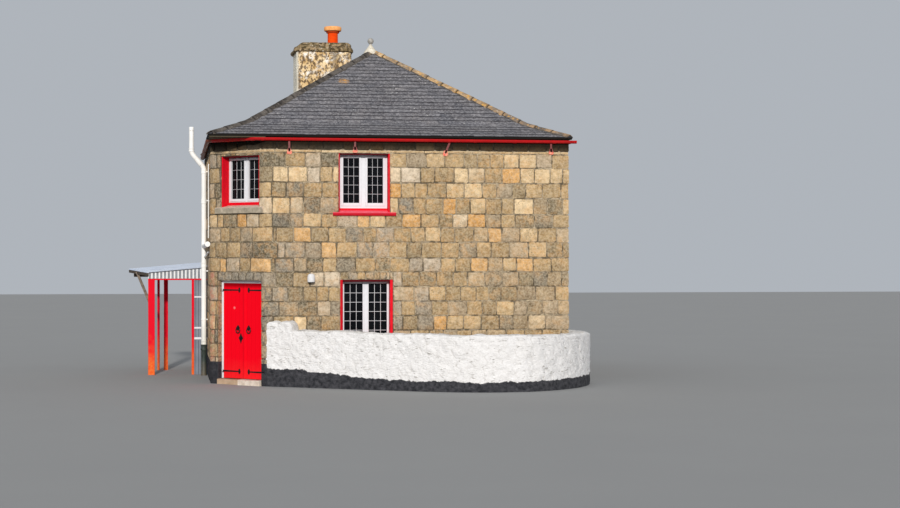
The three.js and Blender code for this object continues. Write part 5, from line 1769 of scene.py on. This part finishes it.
def ring_handle(x, z):
    """A lozenge rose, a boss, and a ring that hangs from it: a circle carried round a circle."""
    rose = plate([[x - 0.056, z], [x, z - 0.066], [x + 0.056, z], [x, z + 0.066]], IRON_FACE, IRON_BACK)
    dome = [(0, -0.002), (0.018, -0.002), (0.017, 0.006), (0.009, 0.013), (0, 0.014)]
    boss = turned_out(dome, 16, (x, 0.116, z))
    turn = np.linspace(0, 2 * math.pi, 36, endpoint=False)
    ring_x, ring_z = x + 0.004 + 0.050 * np.cos(turn), z - 0.053 + 0.050 * np.sin(turn)
    line = np.stack([ring_x, np.full(36, 0.1055), ring_z], 1)
    return joined(rose, boss, facing_out(carried(circle(0.0115, 10), line, up=(0, 1, 0), closed=True)))


def latch_plate(x, z):
    """A tall lozenge with cut-in sides and a turned knob in its middle."""
    outline = [[x, z - 0.118], [x + 0.030, z - 0.044], [x + 0.062, z], [x + 0.030, z + 0.044], [x, z + 0.108],
               [x - 0.030, z + 0.044], [x - 0.062, z], [x - 0.030, z - 0.044]]
    stem = [(0, -0.002), (0.012, -0.002), (0.009, 0.008), (0.017, 0.016), (0.016, 0.026), (0.008, 0.030),
            (0, 0.031)]
    return joined(plate(outline, IRON_FACE, IRON_BACK), turned_out(stem, 18, (x, 0.116, z)))


# %% Build the two leaves
for side, (hand, edge, free, length) in LEAVES.items():
    x0, x1 = sorted((edge, free))
    inset = (0.0, 0.004) if hand > 0 else (0.004, 0.0)
    shapes = [boarded(x0, x1, LEAF_FACE, LEAF_BACK, LEAF_LOW, LEAF_HIGH, 5, back_in=inset)]
    if side == "right":
        strip = [free, 0.109, LEAF_LOW + 0.004], [free + 0.074, 0.1205, LEAF_HIGH - 0.004]
        shapes.append(blocks(*strip, 0.004))
    body = side + "_leaf"
    make_piece("door_boards_" + side, *on_wall("corner", joined(*shapes)), DOOR_RED, "red_door", body=body,
               stands_for=["door_leaf_" + side], sharp=25)
    irons = [strap_iron(hand, edge, length, z) for z in HINGE_HEIGHTS]
    irons.append(ring_handle(*((-0.104, 1.168) if side == "left" else (0.195, 1.168))))
    if side == "left":
        irons.append(latch_plate(-0.023, 0.961))
    make_piece("door_iron_" + side, *on_wall("corner", joined(*irons)), IRON, "dark_pipe", body=body,
               sharp=35)


# %% The door frame with its pins, and the threshold
def door_frame():
    """Two jambs and a head, each with a bead on its outer edge and a stop behind the leaves."""
    x0, x1 = sides_of(DOOR)
    x0, x1 = x0 + HAIR, x1 - HAIR
    low, high = 0.1155, DOOR["head"] - HAIR
    members = [([x0, 0.120, low], [x0 + 0.0445, 0.200, high]), ([x1 - 0.0445, 0.120, low], [x1, 0.200, high]),
               ([x0 + 0.044, 0.1205, high - 0.0545], [x1 - 0.044, 0.200, high])]
    stops = [([x0 + 0.044, 0.160, low], [x0 + 0.056, 0.199, high - 0.05]),
             ([x1 - 0.056, 0.160, low], [x1 - 0.044, 0.199, high - 0.05]),
             ([x0 + 0.05, 0.160, high - 0.068], [x1 - 0.05, 0.199, high - 0.054])]
    beads = [([x0, 0.108, low], [x0 + 0.022, 0.1205, high]), ([x1 - 0.022, 0.108, low], [x1, 0.1205, high]),
             ([x0, 0.108, high - 0.024], [x1, 0.1205, high])]
    return joined(*[blocks(*zip(*pairs), edge) for pairs,
                    edge in ((members, 0.004), (stops, 0.003), (beads, 0.004))])


def hinge_pins():
    """On each jamb, a pin through the eye of the leaf, standing on a bracket."""
    shapes = []
    for hand, edge, _, _ in LEAVES.values():
        pin_x, jamb = edge - hand * 0.002, edge - hand * 0.005
        for z in HINGE_HEIGHTS:
            low = z - 0.0174
            rod = [(0, -0.010), (0.0046, -0.010), (0.0046, 0.040), (0.003, 0.042), (0, 0.0425)]
            shapes.append(turned([(r, low + up) for r, up in rod], (pin_x, PIN_Y), 14))
            a, b = sorted((jamb - hand * 0.028, jamb - hand * 0.001))
            c, d = sorted((jamb - hand * 0.002, pin_x))
            shapes.append(blocks([[a, 0.1015, low - 0.014], [c, 0.1015, low - 0.014]],
                                 [[b, 0.1205, low - 0.0005], [d, 0.1105, low - 0.0005]], 0.001))
    return joined(*shapes)


def threshold_stones():
    """Two slabs that meet under the leaves, their tops worn hollow by steps:
    z = top - 0.006 sin(pi u) sin(pi v) - 0.008 (1 - v)^8."""
    shapes = []
    for x0, x1, front, top in ((-0.556, 0.040, -0.034, 0.111), (0.046, 0.646, -0.058, 0.1145)):
        u, v = np.meshgrid(np.linspace(0, 1, 13), np.linspace(0, 1, 9), indexing="ij")
        x, y = x0 + (x1 - x0) * u, front + (0.329 - front) * v
        worn = top - 0.006 * np.sin(math.pi * u) * np.sin(math.pi * v) - 0.008 * (1 - v) ** 8
        shapes.append(slab_of(np.stack([x, y, worn], -1), np.stack([x, y, 0 * x], -1)))
    return joined(*shapes)


make_piece("door_frame_white", *on_wall("corner", door_frame()), WHITE_PAINT, "white_frame",
           stands_for=["door_frame"])
make_piece("door_hinge_pins", *on_wall("corner", hinge_pins()), IRON, "dark_pipe")
make_piece("threshold_stones", *on_wall("corner", threshold_stones()), THRESHOLD_STONE, "sill_stone",
           stands_for=["threshold"])


# %% The side door under the porch
def side_door():
    """A closed door of seven boards in a frame of its own."""
    x0, x1 = SIDE_DOOR["at"] - 0.4495, SIDE_DOOR["at"] + 0.4495
    members = [([x0, 0.120, 0.1155], [x0 + 0.06, 0.190, 2.0595]),
               ([x1 - 0.06, 0.120, 0.1155], [x1, 0.190, 2.0595]),
               ([x0 + 0.059, 0.1205, 2.000], [x1 - 0.059, 0.190, 2.0595])]
    leaf = boarded(x0 + 0.060, x1 - 0.060, 0.136, 0.186, 0.118, 2.000, 7)
    return blocks(*zip(*members), 0.004), leaf


frame_parts, leaf = side_door()
make_piece("side_door_frame", *on_wall("left", frame_parts), WHITE_PAINT, "white_frame")
make_piece("side_door_boards", *on_wall("left", leaf), DOOR_RED, "red_door", stands_for=["side_door"],
           sharp=25)
knob_profile = [(0, -0.004), (0.024, -0.004), (0.022, 0.004), (0.010, 0.012), (0.010, 0.030),
                (0.024, 0.040), (0.026, 0.052), (0.016, 0.062), (0, 0.064)]
knob = turned_out(knob_profile, 24, (SIDE_DOOR["at"] + 0.33, 0.136, 1.08))
make_piece("side_door_knob", *on_wall("left", knob), IRON, "dark_pipe")
print("entrance and side door built")

# %% [markdown]
# ## The porch
# A lean-to of red posts carries a roof of corrugated sheet. The sheet is a sine wave on a sloping
# plane, with a thickness. Above the front beam an upright strip of the same sheet closes the gap,
# so that it reads as white and grey stripes from the front; the grey is painted shade in its troughs.

# %% Porch finishes
def make_sheet(name, pale, dull, streaks):
    """Pale painted sheet, dull in clouds, with faint rust runs down the slope."""
    finish = Finish(name, 0.42)
    base = finish.mix(finish.mottle(0.35, 2.6), pale, dull)
    runs = finish.mottle(0.07, 3.4, finish.stretched(*streaks))
    stained = finish.mix(finish.times(runs, 0.30), base, tuple(0.55 * v for v in dull))
    rust = finish.mix(finish.lichen(0.10, 0.30, by=0.5), stained, (0.26, 0.13, 0.07))
    return finish.finished(rust, 0.05, 0.0015)


def make_infill_sheet():
    """White ribs and grey troughs, the grey being painted shade, from the mark that tells how far back
    each point of the wave lies.
    """
    finish = Finish("infill_sheet", 0.5)
    # Painted shade: the troughs of the ribs are grey.
    trough = finish.ranged(finish.mark("trough"), 0.42, 0.60)
    white = finish.mix(finish.mottle(0.06, 3.0, by=0.4), (0.74, 0.75, 0.76), (0.50, 0.51, 0.52))
    grey = finish.mix(finish.mottle(0.08, 3.0), (0.13, 0.14, 0.16), (0.23, 0.25, 0.28))
    return finish.finished(finish.mix(trough, white, grey), 0.03, 0.0015)


def make_post_red():
    """Red gloss on old timber: splits along the grain, and a foot where damp has bleached it to orange."""
    finish = Finish("post_red", 0.50, Specular_IOR_Level=0.05)
    splits = finish.mottle(0.012, 4.0, finish.stretched(1, 1, 0.05))
    red = finish.mix(finish.times(splits, 0.16), (0.74, 0.002, 0.018), (0.42, 0.003, 0.012))
    foot = finish.splash(0.85, by=0.95)
    worn = finish.mix(finish.mottle(0.05, 3.5), (0.74, 0.10, 0.014), (0.76, 0.20, 0.040))
    return finish.finished(finish.mix(foot, red, worn), 0.03, 0.0020, place=finish.stretched(1, 1, 0.1))


def make_weathered_wood(name, dark, pale):
    """Bare wood gone grey, with dark checks along the grain."""
    finish = Finish(name, 0.85)
    base = finish.mix(finish.mottle(0.10, 3.0), dark, pale)
    checks = finish.mottle(0.012, 5.0, finish.stretched(0.12, 0.12, 0.2), by=0.5)
    return finish.finished(finish.mix(checks, base, tuple(0.4 * v for v in dark)), 0.02, 0.002)


ROOF_SHEET = make_sheet("porch_roof_sheet", (0.74, 0.82, 0.97), (0.55, 0.63, 0.78), (0.15, 1, 1))
SIDE_SHEET = make_sheet("side_panel_sheet", (0.20, 0.23, 0.28), (0.13, 0.15, 0.19), (1, 1, 0.1))
INFILL_SHEET, POST_RED = make_infill_sheet(), make_post_red()
FASCIA_WOOD = make_weathered_wood("fascia_wood", (0.050, 0.036, 0.026), (0.115, 0.085, 0.060))
BRACE_WOOD = make_weathered_wood("brace_wood", (0.16, 0.12, 0.09), (0.30, 0.23, 0.175))


# %% Sheets as waves
def porch_top(x, y):
    """The height of the porch roof's plane: 2.430 + 0.0896 (x + 3.7) + 0.0525 (y - 0.2)."""
    return 2.430 + 0.0896 * (x + HALF) + 0.0525 * (y - 0.2)


def porch_sheet():
    """z = plane - 0.012 + 0.009 cos(2 pi (y - 0.15) / 0.0765), from the wall out to a slanting verge."""
    v, u = np.meshgrid(np.linspace(0, 1, 26 * 8 + 1), np.linspace(0, 1, 9), indexing="ij")
    y = 0.150 + 2.0 * v
    left = -5.050 - 0.455 * v
    x = -3.706 + (left + 3.706) * u
    z = porch_top(x, y) - 0.012 + 0.009 * np.cos(2 * math.pi * 26 * v)
    return slab_of(np.stack([x, y, z], -1), np.stack([x, y, z - 0.004], -1))


def upright_sheet(x0, x1, y, low, high, pitch, deep):
    """A standing sheet whose depth is y + deep * (0.5 - 0.5 s), with s the squared-off wave
    tanh(3 cos(2 pi x / pitch)). high is a height or a function of x."""
    count = max(4, int(round((x1 - x0) / pitch * 14)))
    x = np.linspace(x0, x1, count)
    wave = np.tanh(3 * np.cos(2 * math.pi * (x - x0) / pitch))
    back = 0.5 - 0.5 * wave
    top = high(x) if callable(high) else np.full(count, high)
    share = np.linspace(0, 1, 5)[None]
    z = low + (top - low)[:, None] * share
    face = np.stack([np.repeat(x[:, None], 5, 1), np.repeat((y + deep * back)[:, None], 5, 1), z], -1)
    return slab_of(face, face + [0, 0.003, 0]), np.tile(np.repeat(back, 5), 2)


# %% Build the porch roof
make_piece("porch_roof_corrugated", *porch_sheet(), ROOF_SHEET, "sheet", stands_for=["porch_roof"], sharp=60)


def fascia():
    """A board hung along the slanting verge, from the front corner to the back, under a thin capping."""
    ends = np.array([[-5.044, 0.156], [-5.497, 2.144]])
    top = porch_top(ends[:, 0], ends[:, 1])
    across = np.array([0.975, 0.222]) * 0.024
    shapes = []
    for drop_top, drop_foot, wide in ((0.024, 0.092, 1.0), (0.0045, 0.026, 1.35)):
        plan = [ends[0], ends[0] + across * wide, ends[1] + across * wide, ends[1]]
        heights = [top[0], top[0], top[1], top[1]]
        points = np.array([[*p, h - drop_foot] for p, h in zip(plan, heights)]
                          + [[*p, h - drop_top] for p, h in zip(plan, heights)])
        shapes.append(facing_out((points, prism_faces(4))))
    return shapes


def infill_top(x):
    """The upper edge of the strip over the front beam, just under the roof sheet."""
    return porch_top(x, 0.21) - 0.037


board, capping = fascia()
make_piece("porch_fascia", *board, FASCIA_WOOD, "boards")
make_piece("porch_verge_capping", *capping, ROOF_SHEET, "sheet")
shape, trough = upright_sheet(-5.029, -3.702, 0.199, 2.158, infill_top, 0.0836, 0.017)
make_piece("porch_infill_ribs", *shape, INFILL_SHEET, "sheet", stands_for=["porch_front_infill"], sharp=40,
           marks={"trough": trough})


# %% Build the porch frame
def post(x0, x1, y0, y1, low, high, seed):
    """A post whose eased outline wanders by a millimetre or two as it rises."""
    e = 0.006                   # how much each corner is eased
    outline = np.array([[x0 + e, y0], [x1 - e, y0], [x1, y0 + e], [x1, y1 - e], [x1 - e, y1], [x0 + e, y1],
                        [x0, y1 - e], [x0, y0 + e]])
    levels = np.linspace(low, high, 24)
    m, k = len(levels), len(outline)
    rings = np.repeat(outline[None], m, 0)
    points = np.concatenate([rings, np.repeat(levels[:, None, None], k, 1)], -1)
    flat = points.reshape(-1, 3)
    inward = unit(np.array([(x0 + x1) / 2, (y0 + y1) / 2]) - flat[:, :2])
    flat[:, :2] += inward * (0.0015 + 0.0015 * ripple(flat, 0.3, seed))[:, None]
    return facing_out((flat, tube_faces(m, k)))


def back_beam():
    """The back beam, its top cut to the slope of the roof."""
    x = np.array([-5.379, -3.7005])
    section = [[a, 2.180] for a in x] + [[a, porch_top(a, 1.98) - 0.037] for a in x[::-1]]
    return plate(section, 1.9505, 2.0075)


front_parts = [post(-5.0295, -4.8805, 0.2205, 0.3195, 0, 2.126, 1),
               post(-4.0645, -4.0075, 0.2205, 0.2775, 0, 2.126, 2),
               blocks([-5.0295, 0.2205, 2.1255], [-3.7005, 0.2775, 2.1695], 0.004)]
make_piece("porch_front_posts", *joined(*front_parts), POST_RED, "red_post", stands_for=["porch_front_frame"])
brace_end = np.array([-5.296, 1.330, 2.292])
make_piece("porch_brace", *facing_out(bar_between([-5.013, 0.281, 1.667], brace_end, 0.060, 0.062, 0.005)),
           BRACE_WOOD, "boards")
back_parts = [post(x0, x1, 1.9505, 2.0075, 0, 2.181, seed)
              for x0, x1, seed in ((-4.8395, -4.7805, 3), (-4.6895, -4.5905, 4), (-3.7995, -3.7105, 5))]
make_piece("porch_back_beam", *back_beam(), FASCIA_WOOD, "boards")
make_piece("porch_back_posts", *joined(*back_parts), POST_RED, "red_post", stands_for=["porch_back_frame"])
shape, trough = upright_sheet(-4.006, -3.7045, 0.231, 0.001, 2.124, 0.076, 0.018)
make_piece("porch_side_ribs", *shape, SIDE_SHEET, "sheet", stands_for=["porch_side_panel"], sharp=40,
           marks={"trough": trough})
rails = [(1.744, 0.034), (1.049, 0.040), (0.813, 0.050)]
rail_lows = [[-4.006, 0.222, z - h / 2] for z, h in rails]
rail_highs = [[-3.7045, 0.2325, z + h / 2] for z, h in rails]
make_piece("porch_side_rails", *blocks(rail_lows, rail_highs, 0.003), WHITE_PAINT, "white_frame")
print("porch built")

# %% [markdown]
# ## The pipes
# The soil pipe runs up the left wall, steps out past the eaves in an offset bend and ends open
# above the gutter. Sockets, where one length is pushed into the next, are short wider tubes. A
# branch of the same size runs along the wall, and a slim overflow pipe hangs near the corner.

# %% Pipe finish
def make_pipe_white():
    """White plastic gone slightly grey, streaked with dust and greener near the ground."""
    finish = Finish("pipe_white", 0.42, Specular_IOR_Level=0.25)
    base = finish.mix(finish.mottle(0.25, 2.2), (0.92, 0.91, 0.89), (0.82, 0.81, 0.79))
    dust = finish.mottle(0.05, 5.0, finish.stretched(1, 1, 0.25), by=0.12)
    soiled = finish.mix(dust, base, (0.40, 0.39, 0.35))
    low = finish.mix(finish.splash(0.7, 0.6, by=0.35), soiled, (0.22, 0.25, 0.15))
    return finish.finished(low, 0.04, 0.0008)


def make_pipe_dark():
    """Black-green cast pipe with rust and dried mud."""
    finish = Finish("pipe_foot_dark", 0.6)
    base = finish.mix(finish.mottle(0.06, 3.0), (0.010, 0.020, 0.016), (0.035, 0.050, 0.042))
    mud = finish.mix(finish.splash(0.35, by=0.6), base, (0.14, 0.105, 0.07))
    return finish.finished(mud, 0.02, 0.002)


PIPE_WHITE, PIPE_DARK = make_pipe_white(), make_pipe_dark()


# %% The soil pipe
def socket(x, y, low, high, radius):
    """A socket: two beads and a band between them."""
    return turned([(0, low), (radius, low), (radius + 0.004, low + 0.004), (radius + 0.004, low + 0.012),
                   (radius, low + 0.018), (radius, high - 0.018), (radius + 0.004, high - 0.012),
                   (radius + 0.004, high - 0.004), (radius - 0.002, high), (0, high)], (x, y), 28)


def soil_pipe():
    """The main run with its offset, open at the top, and the branch that runs along the wall."""
    x, out_x, y = -3.800, -4.072, -0.110
    run = eased_path([[x, y, 0.690], [x, y, 4.640], [out_x, y, 4.960], [out_x, y, 5.460]], 0.075)
    shapes = [carried(circle(0.055, 28), run, up=(0, 1, 0))]
    mouth = [(0.055, 5.450), (0.055, 5.536), (0.053, 5.540), (0.050, 5.540), (0.049, 5.536), (0.049, 5.400)]
    shapes.append(facing_out(turned(mouth, (out_x, y), 28, ring=True)))
    for low, high in ((0.690, 0.780), (2.420, 2.520), (3.840, 3.930), (4.500, 4.590)):
        shapes.append(socket(x, y, low, high, 0.060))
    shapes.append(socket(out_x, y, 4.990, 5.070, 0.060))
    slope = np.array([out_x - x, 0, 0.320])
    start = np.array([x, y, 4.640])
    shapes.append(carried(circle(0.0605, 28), [start + 0.20 * slope, start + 0.55 * slope], up=(0, 1, 0)))
    branch = eased_path([[x, y, 2.885], [-3.762, -0.50, 2.890], [-3.762, -2.36, 2.912]], 0.10)
    shapes.append(carried(circle(0.050, 24), branch))
    end = branch[-1]
    shapes.append(carried(circle(0.0555, 24), [end - (end - branch[-2]) * 0.06, end + [0, -0.035, 0]]))
    waste = eased_path([[-3.700, -1.62, 2.745], [-3.738, -1.62, 2.742], [-3.742, -0.60, 2.690],
                        [-3.785, -0.15, 2.640]], 0.03)
    shapes.append(carried(circle(0.020, 14), waste))
    return joined(*[facing_out(s) for s in shapes])


def pipe_clips():
    """Bands round the pipe, each with an arm to the wall."""
    shapes = []
    for z in (1.250, 2.330, 3.900, 4.548):
        ring = [(0.0555, z - 0.016), (0.0615, z - 0.016), (0.0615, z + 0.016), (0.0555, z + 0.016)]
        shapes.append(facing_out(turned(ring, (-3.800, -0.110), 28, ring=True)))
        shapes.append(blocks([-3.748, -0.124, z - 0.014], [-3.7005, -0.096, z + 0.014], 0.003))
    return joined(*shapes)


make_piece("soil_pipe_white", *soil_pipe(), PIPE_WHITE, "white_pipe", stands_for=["soil_pipe"])
make_piece("soil_pipe_clips", *pipe_clips(), PIPE_WHITE, "white_pipe")
foot_profile = [(0, 0.0), (0.066, 0.0), (0.066, 0.022), (0.0605, 0.030), (0.0605, 0.560), (0.068, 0.570),
                (0.068, 0.600), (0.063, 0.606), (0.063, 0.672), (0.068, 0.678), (0.066, 0.6895),
                (0, 0.6895)]
make_piece("soil_pipe_foot_cast", *turned(foot_profile, (-3.800, -0.110), 28), PIPE_DARK, "dark_pipe",
           stands_for=["soil_pipe_foot"])


def overflow_pipe():
    """A slim pipe out of the wall and down it, in three clips."""
    line = eased_path([[-3.701, -1.45, 4.640], [-3.726, -1.45, 4.640], [-3.726, -1.43, 3.050]], 0.022)
    shapes = [facing_out(carried(circle(0.011, 12), line, up=(0, 1, 0)))]
    for z in (4.40, 3.85, 3.30):
        y = -1.45 + 0.02 * (4.64 - z) / 1.59
        shapes.append(blocks([-3.739, y - 0.015, z - 0.010], [-3.7005, y + 0.015, z + 0.010], 0.003))
    return joined(*shapes)


make_piece("overflow_pipe", *overflow_pipe(), PIPE_WHITE, "white_pipe")
print("pipes built")

# %% [markdown]
# ## The garden wall
# A low wall of rubble under many coats of whitewash swells out from the corner of the house and
# comes back to the right-hand wall. It is one closed surface: a smooth line through the marks of
# its plan, and at each station a section up the outer face, over the rounded top and down the
# inner face. Cells of uneven size stand for the stones under the wash.

# %% The line of the wall
GARDEN_MARKS = np.array([[-2.610, -3.7005], [-2.110, -4.020], [0.669, -5.740], [2.213, -5.990],
                         [3.270, -5.420], [3.949, -4.444], [4.130, -3.380], [3.7005, -2.350]])
GARDEN_THICK = 0.320
GARDEN_CROWN = 0.045            # how high the rounded top rises


def smooth_line(marks, spacing):
    """A line through the marks, laid out again at even spacing. On each span it is
    0.5 (2b + (c - a) t + (2a - 5b + 4c - d) t^2 + (3b - a - 3c + d) t^3)."""
    ends = np.vstack([2 * marks[0] - marks[1], marks, 2 * marks[-1] - marks[-2]])
    t = np.linspace(0, 1, 80, endpoint=False)[:, None]
    spans = []
    for a, b, c, d in zip(ends[:-3], ends[1:-2], ends[2:-1], ends[3:]):
        spans.append(0.5 * (2 * b + (c - a) * t + (2 * a - 5 * b + 4 * c - d) * t ** 2
                            + (3 * b - a - 3 * c + d) * t ** 3))
    line = np.vstack([*spans, marks[-1:]])
    whole = lengths_along(line)[-1]
    even = np.linspace(0, whole, int(whole / spacing) + 1)
    return at_lengths(line, even), even


def rubble(along, height, seed):
    """Uneven stones 0.30 x 0.17 m: the distance to the nearest of jittered points, and how much farther
    the second nearest is, which is small in the joints."""
    cell_x, cell_z = along / 0.30, height / 0.17
    draw = np.random.default_rng(seed)
    jitter = draw.uniform(0.12, 0.88, (64, 32, 2))
    base_x, base_z = np.floor(cell_x).astype(int), np.floor(cell_z).astype(int)
    distances = []
    for dx in (-1, 0, 1):
        for dz in (-1, 0, 1):
            ix, iz = base_x + dx, base_z + dz
            mark = jitter[ix % 64, iz % 32]
            distances.append(np.hypot(ix + mark[..., 0] - cell_x, iz + mark[..., 1] - cell_z))
    near = np.sort(np.stack(distances), 0)
    return near[0], near[1] - near[0]


# %% The surface of the wall
def garden_wall():
    """Rings round the wall at each station, moved along their own outward way by lumps, stones and
    joints."""
    line, far = smooth_line(GARDEN_MARKS, 0.020)
    way = unit(np.gradient(line, axis=0))
    inward = np.stack([-way[:, 1], way[:, 0]], 1)
    inward[0], inward[-1] = [1, 0], [0, -1]
    ease = smooth_step(far, 0, 0.25)[:, None]
    inward = inward * ease + np.array([1.0, 0.0]) * (1 - ease)
    ease = smooth_step(far[-1] - far, 0, 0.30)[:, None]
    inward = unit(inward * ease + np.array([0.0, -1.0]) * (1 - ease))
    level = np.column_stack([far, far * 0, far * 0])
    low_top = 1.160 - 0.085 * far / far[-1] + 0.012 * ripple(level, 0.9, 3)
    raised = np.interp(far, [0, 0.03, 0.10, 0.22, 0.26, 0.28, 0.31, 0.40, 0.52, 0.575, 0.60],
                       [1.28, 1.33, 1.35, 1.335, 1.31, 1.26, 1.335, 1.35, 1.345, 1.30, low_top[30]])
    top = np.where(far < 0.60, raised, low_top)
    turn = np.linspace(0, math.pi, 11)[1:-1]
    up, down = np.linspace(0, 1, 58), np.linspace(1, 0, 16)
    low_face, high_face = 0 * up, 0 * down
    across = np.concatenate([low_face, GARDEN_THICK / 2 * (1 - np.cos(turn)), high_face + GARDEN_THICK])
    share = np.concatenate([up, np.ones(len(turn)), down])
    out = np.concatenate([low_face - 1, -np.cos(turn), high_face + 1])
    lift = np.concatenate([low_face, np.sin(turn), high_face])
    height = share[None] * (top[:, None] - GARDEN_CROWN) + GARDEN_CROWN * lift[None]
    plan = line[:, None] + inward[:, None] * across[None, :, None]
    points = np.concatenate([plan, height[..., None]], -1)
    stone, joint = rubble(far[:, None] + 0 * height, height + 0.03 * np.sin(far * 3)[:, None] + share * 0, 8)
    cracks = 1 - smooth_step(joint, 0.0, 0.16)
    flat = points.reshape(-1, 3)
    waves = 0.008 * ripple(flat, 0.42, 1) + 0.0060 * ripple(flat, 0.13, 2) + 0.0030 * ripple(flat, 0.055, 4)
    open_joints = 0.4 + 0.6 * (ripple(flat, 0.5, 6).reshape(height.shape) > 0)
    swell = waves.reshape(height.shape) - 0.006 * cracks * open_joints + 0.004 * (0.4 - stone)
    near_ends = smooth_step(far, 0, 0.06) * smooth_step(far[-1] - far, 0, 0.06)
    swell = np.clip(swell, -0.028, 0.012) * near_ends[:, None]
    swell[:, 0], swell[:, -1] = swell[:, 1], swell[:, -2]
    points[..., :2] += (inward[:, None] * out[None, :, None]) * swell[..., None]
    points[..., 2] += lift[None] * swell
    rings, each = height.shape
    faces = [grid_faces(rings, each, wrap_columns=True), np.arange(each)[None],
             (rings - 1) * each + np.arange(each)[::-1][None]]
    paint_line = 0.375 - 0.175 * smooth_step(far, 0.0, 3.4) + 0.035 * smooth_step(far, 5.5, 9.5)
    paint_line = paint_line + 0.012 * ripple(level, 0.35, 9)
    marks = {"over_line": (height - paint_line[:, None]).ravel(), "crack": cracks.ravel(),
             "top": np.tile(lift, rings)}
    return facing_out((points.reshape(-1, 3), faces)), marks


def make_whitewash():
    """Thick white limewash: grey in its cracks, flecked with dark pits, stained a little on top, and
    charcoal paint below the painted line."""
    finish = Finish("whitewash", 0.9)
    white = finish.mix(finish.mottle(0.30, 2.0), (0.94, 0.93, 0.94), (0.86, 0.845, 0.845))
    strokes = finish.mottle(0.035, 4.5, finish.stretched(1, 1, 1.6), by=0.22)
    brushed = finish.mix(strokes, white, (0.52, 0.50, 0.46))
    joint = finish.times(finish.ranged(finish.mark("crack"), 0.35, 1.0), finish.mottle(0.16, 6.0))
    cracked = finish.mix(finish.times(joint, 0.40), brushed, (0.30, 0.27, 0.23))
    hair = finish.ranged(finish.mottle(0.060, 3.0, finish.stretched(0.45, 0.45, 1.7)), 0.78, 0.92)
    hair = finish.times(hair, finish.ranged(finish.mottle(0.35, 4.0), 0.25, 0.60))
    lined = finish.mix(finish.times(hair, 0.68), cracked, (0.26, 0.24, 0.21))
    pits = finish.mix(finish.lichen(0.07, 0.24, by=0.6), lined, (0.16, 0.15, 0.13))
    stain = finish.times(finish.mark("top"), finish.mottle(0.12, 5, by=0.30))
    stained = finish.mix(stain, pits, (0.30, 0.28, 0.20))
    torn = finish.times(finish.math("SUBTRACT", finish.mottle(0.10, 2.0), 0.5), 0.05)
    ragged = finish.math("ADD", finish.mark("over_line"), torn)
    below = finish.ranged(ragged, 0.006, -0.004)
    dark = finish.mix(finish.mottle(0.07, 3.5), (0.012, 0.013, 0.018), (0.060, 0.060, 0.070))
    return finish.finished(finish.mix(below, stained, dark), 0.036, 0.024, 0.5,
                           place=finish.stretched(0.6, 0.6, 1.5))


WHITEWASH = make_whitewash()
shape, marks = garden_wall()
garden_nodes = ["garden_wall_raised_end"] + ["garden_wall_%d" % i for i in range(1, 7)]
make_piece("garden_wall_whitewashed", *shape, WHITEWASH, "whitewash", stands_for=garden_nodes, sharp=70,
           marks=marks)
print("garden wall of", len(shape[0]), "points")

# %% [markdown]
# ## The lamp
# A small white lamp with a hooded shade hangs on the front wall, between the corner and the lower
# window. It is a turned shade on a back plate, with a dark lens looking down.

# %% Wall lamp
LAMP = (-1.695, 2.190)
LAMP_Y = -0.105                 # how far out of the wall the middle of the shade stands


def lamp_shade():
    """A back plate, an arm, and a domed shade turned about an upright line: r runs up to 0.078."""
    x, z = LAMP
    back_plate = blocks([x - 0.045, -0.030, z - 0.045], [x + 0.045, -0.0005, z + 0.090], 0.006)
    arm = blocks([x - 0.020, -0.10, z + 0.020], [x + 0.020, -0.029, z + 0.060], 0.006)
    profile = [(0, -0.056), (0.068, -0.056), (0.073, -0.062), (0.077, -0.054), (0.078, -0.020),
               (0.078, 0.040), (0.071, 0.072), (0.058, 0.095), (0.030, 0.109), (0, 0.110)]
    shade = turned([(r, z + up) for r, up in profile], (x, LAMP_Y), 32)
    return joined(back_plate, arm, shade)


LAMP_PAINT = make_paint("lamp_paint", (0.72, 0.72, 0.74), (0.40, 0.37, 0.34), 0.45, 0.25)
lens_profile = [(0, -0.090), (0.040, -0.087), (0.060, -0.077), (0.066, -0.050), (0, -0.045)]
lens = turned([(r, LAMP[1] + up) for r, up in lens_profile], (LAMP[0], LAMP_Y), 28)
make_piece("wall_lamp_shade", *on_wall("front", lamp_shade()), LAMP_PAINT, "white_frame",
           stands_for=["wall_lamp"])
make_piece("wall_lamp_lens", *on_wall("front", lens), IRON, "dark_pipe")

# %% [markdown]
# ## The floor under the model
# A plain pale floor carries the shadows. It is a stage, not a part of the house.

# %% Studio floor
def make_floor_finish():
    """A matt pale grey with very faint clouds."""
    finish = Finish("studio_floor", 0.95)
    return finish.finished(finish.mix(finish.mottle(3.0, 0.8), (0.30, 0.30, 0.30), (0.33, 0.33, 0.325)))


floor_points, floor_faces = blocks([[-90, -90, -0.05]], [[90, 90, -0.0005]], 0.001)
floor_mesh = bpy.data.meshes.new("studio_floor")
floor_mesh.from_pydata(floor_points.tolist(), [], [face for part in floor_faces for face in part.tolist()])
floor_mesh.materials.append(make_floor_finish())
floor = bpy.data.objects.new("studio_floor", floor_mesh)
scene.collection.objects.link(floor)
made = [o for o in scene.objects if o.name in pieces_made]
print(len(made), "new pieces,", sum(len(p.vertices) - 2 for o in made for p in o.data.polygons), "triangles")
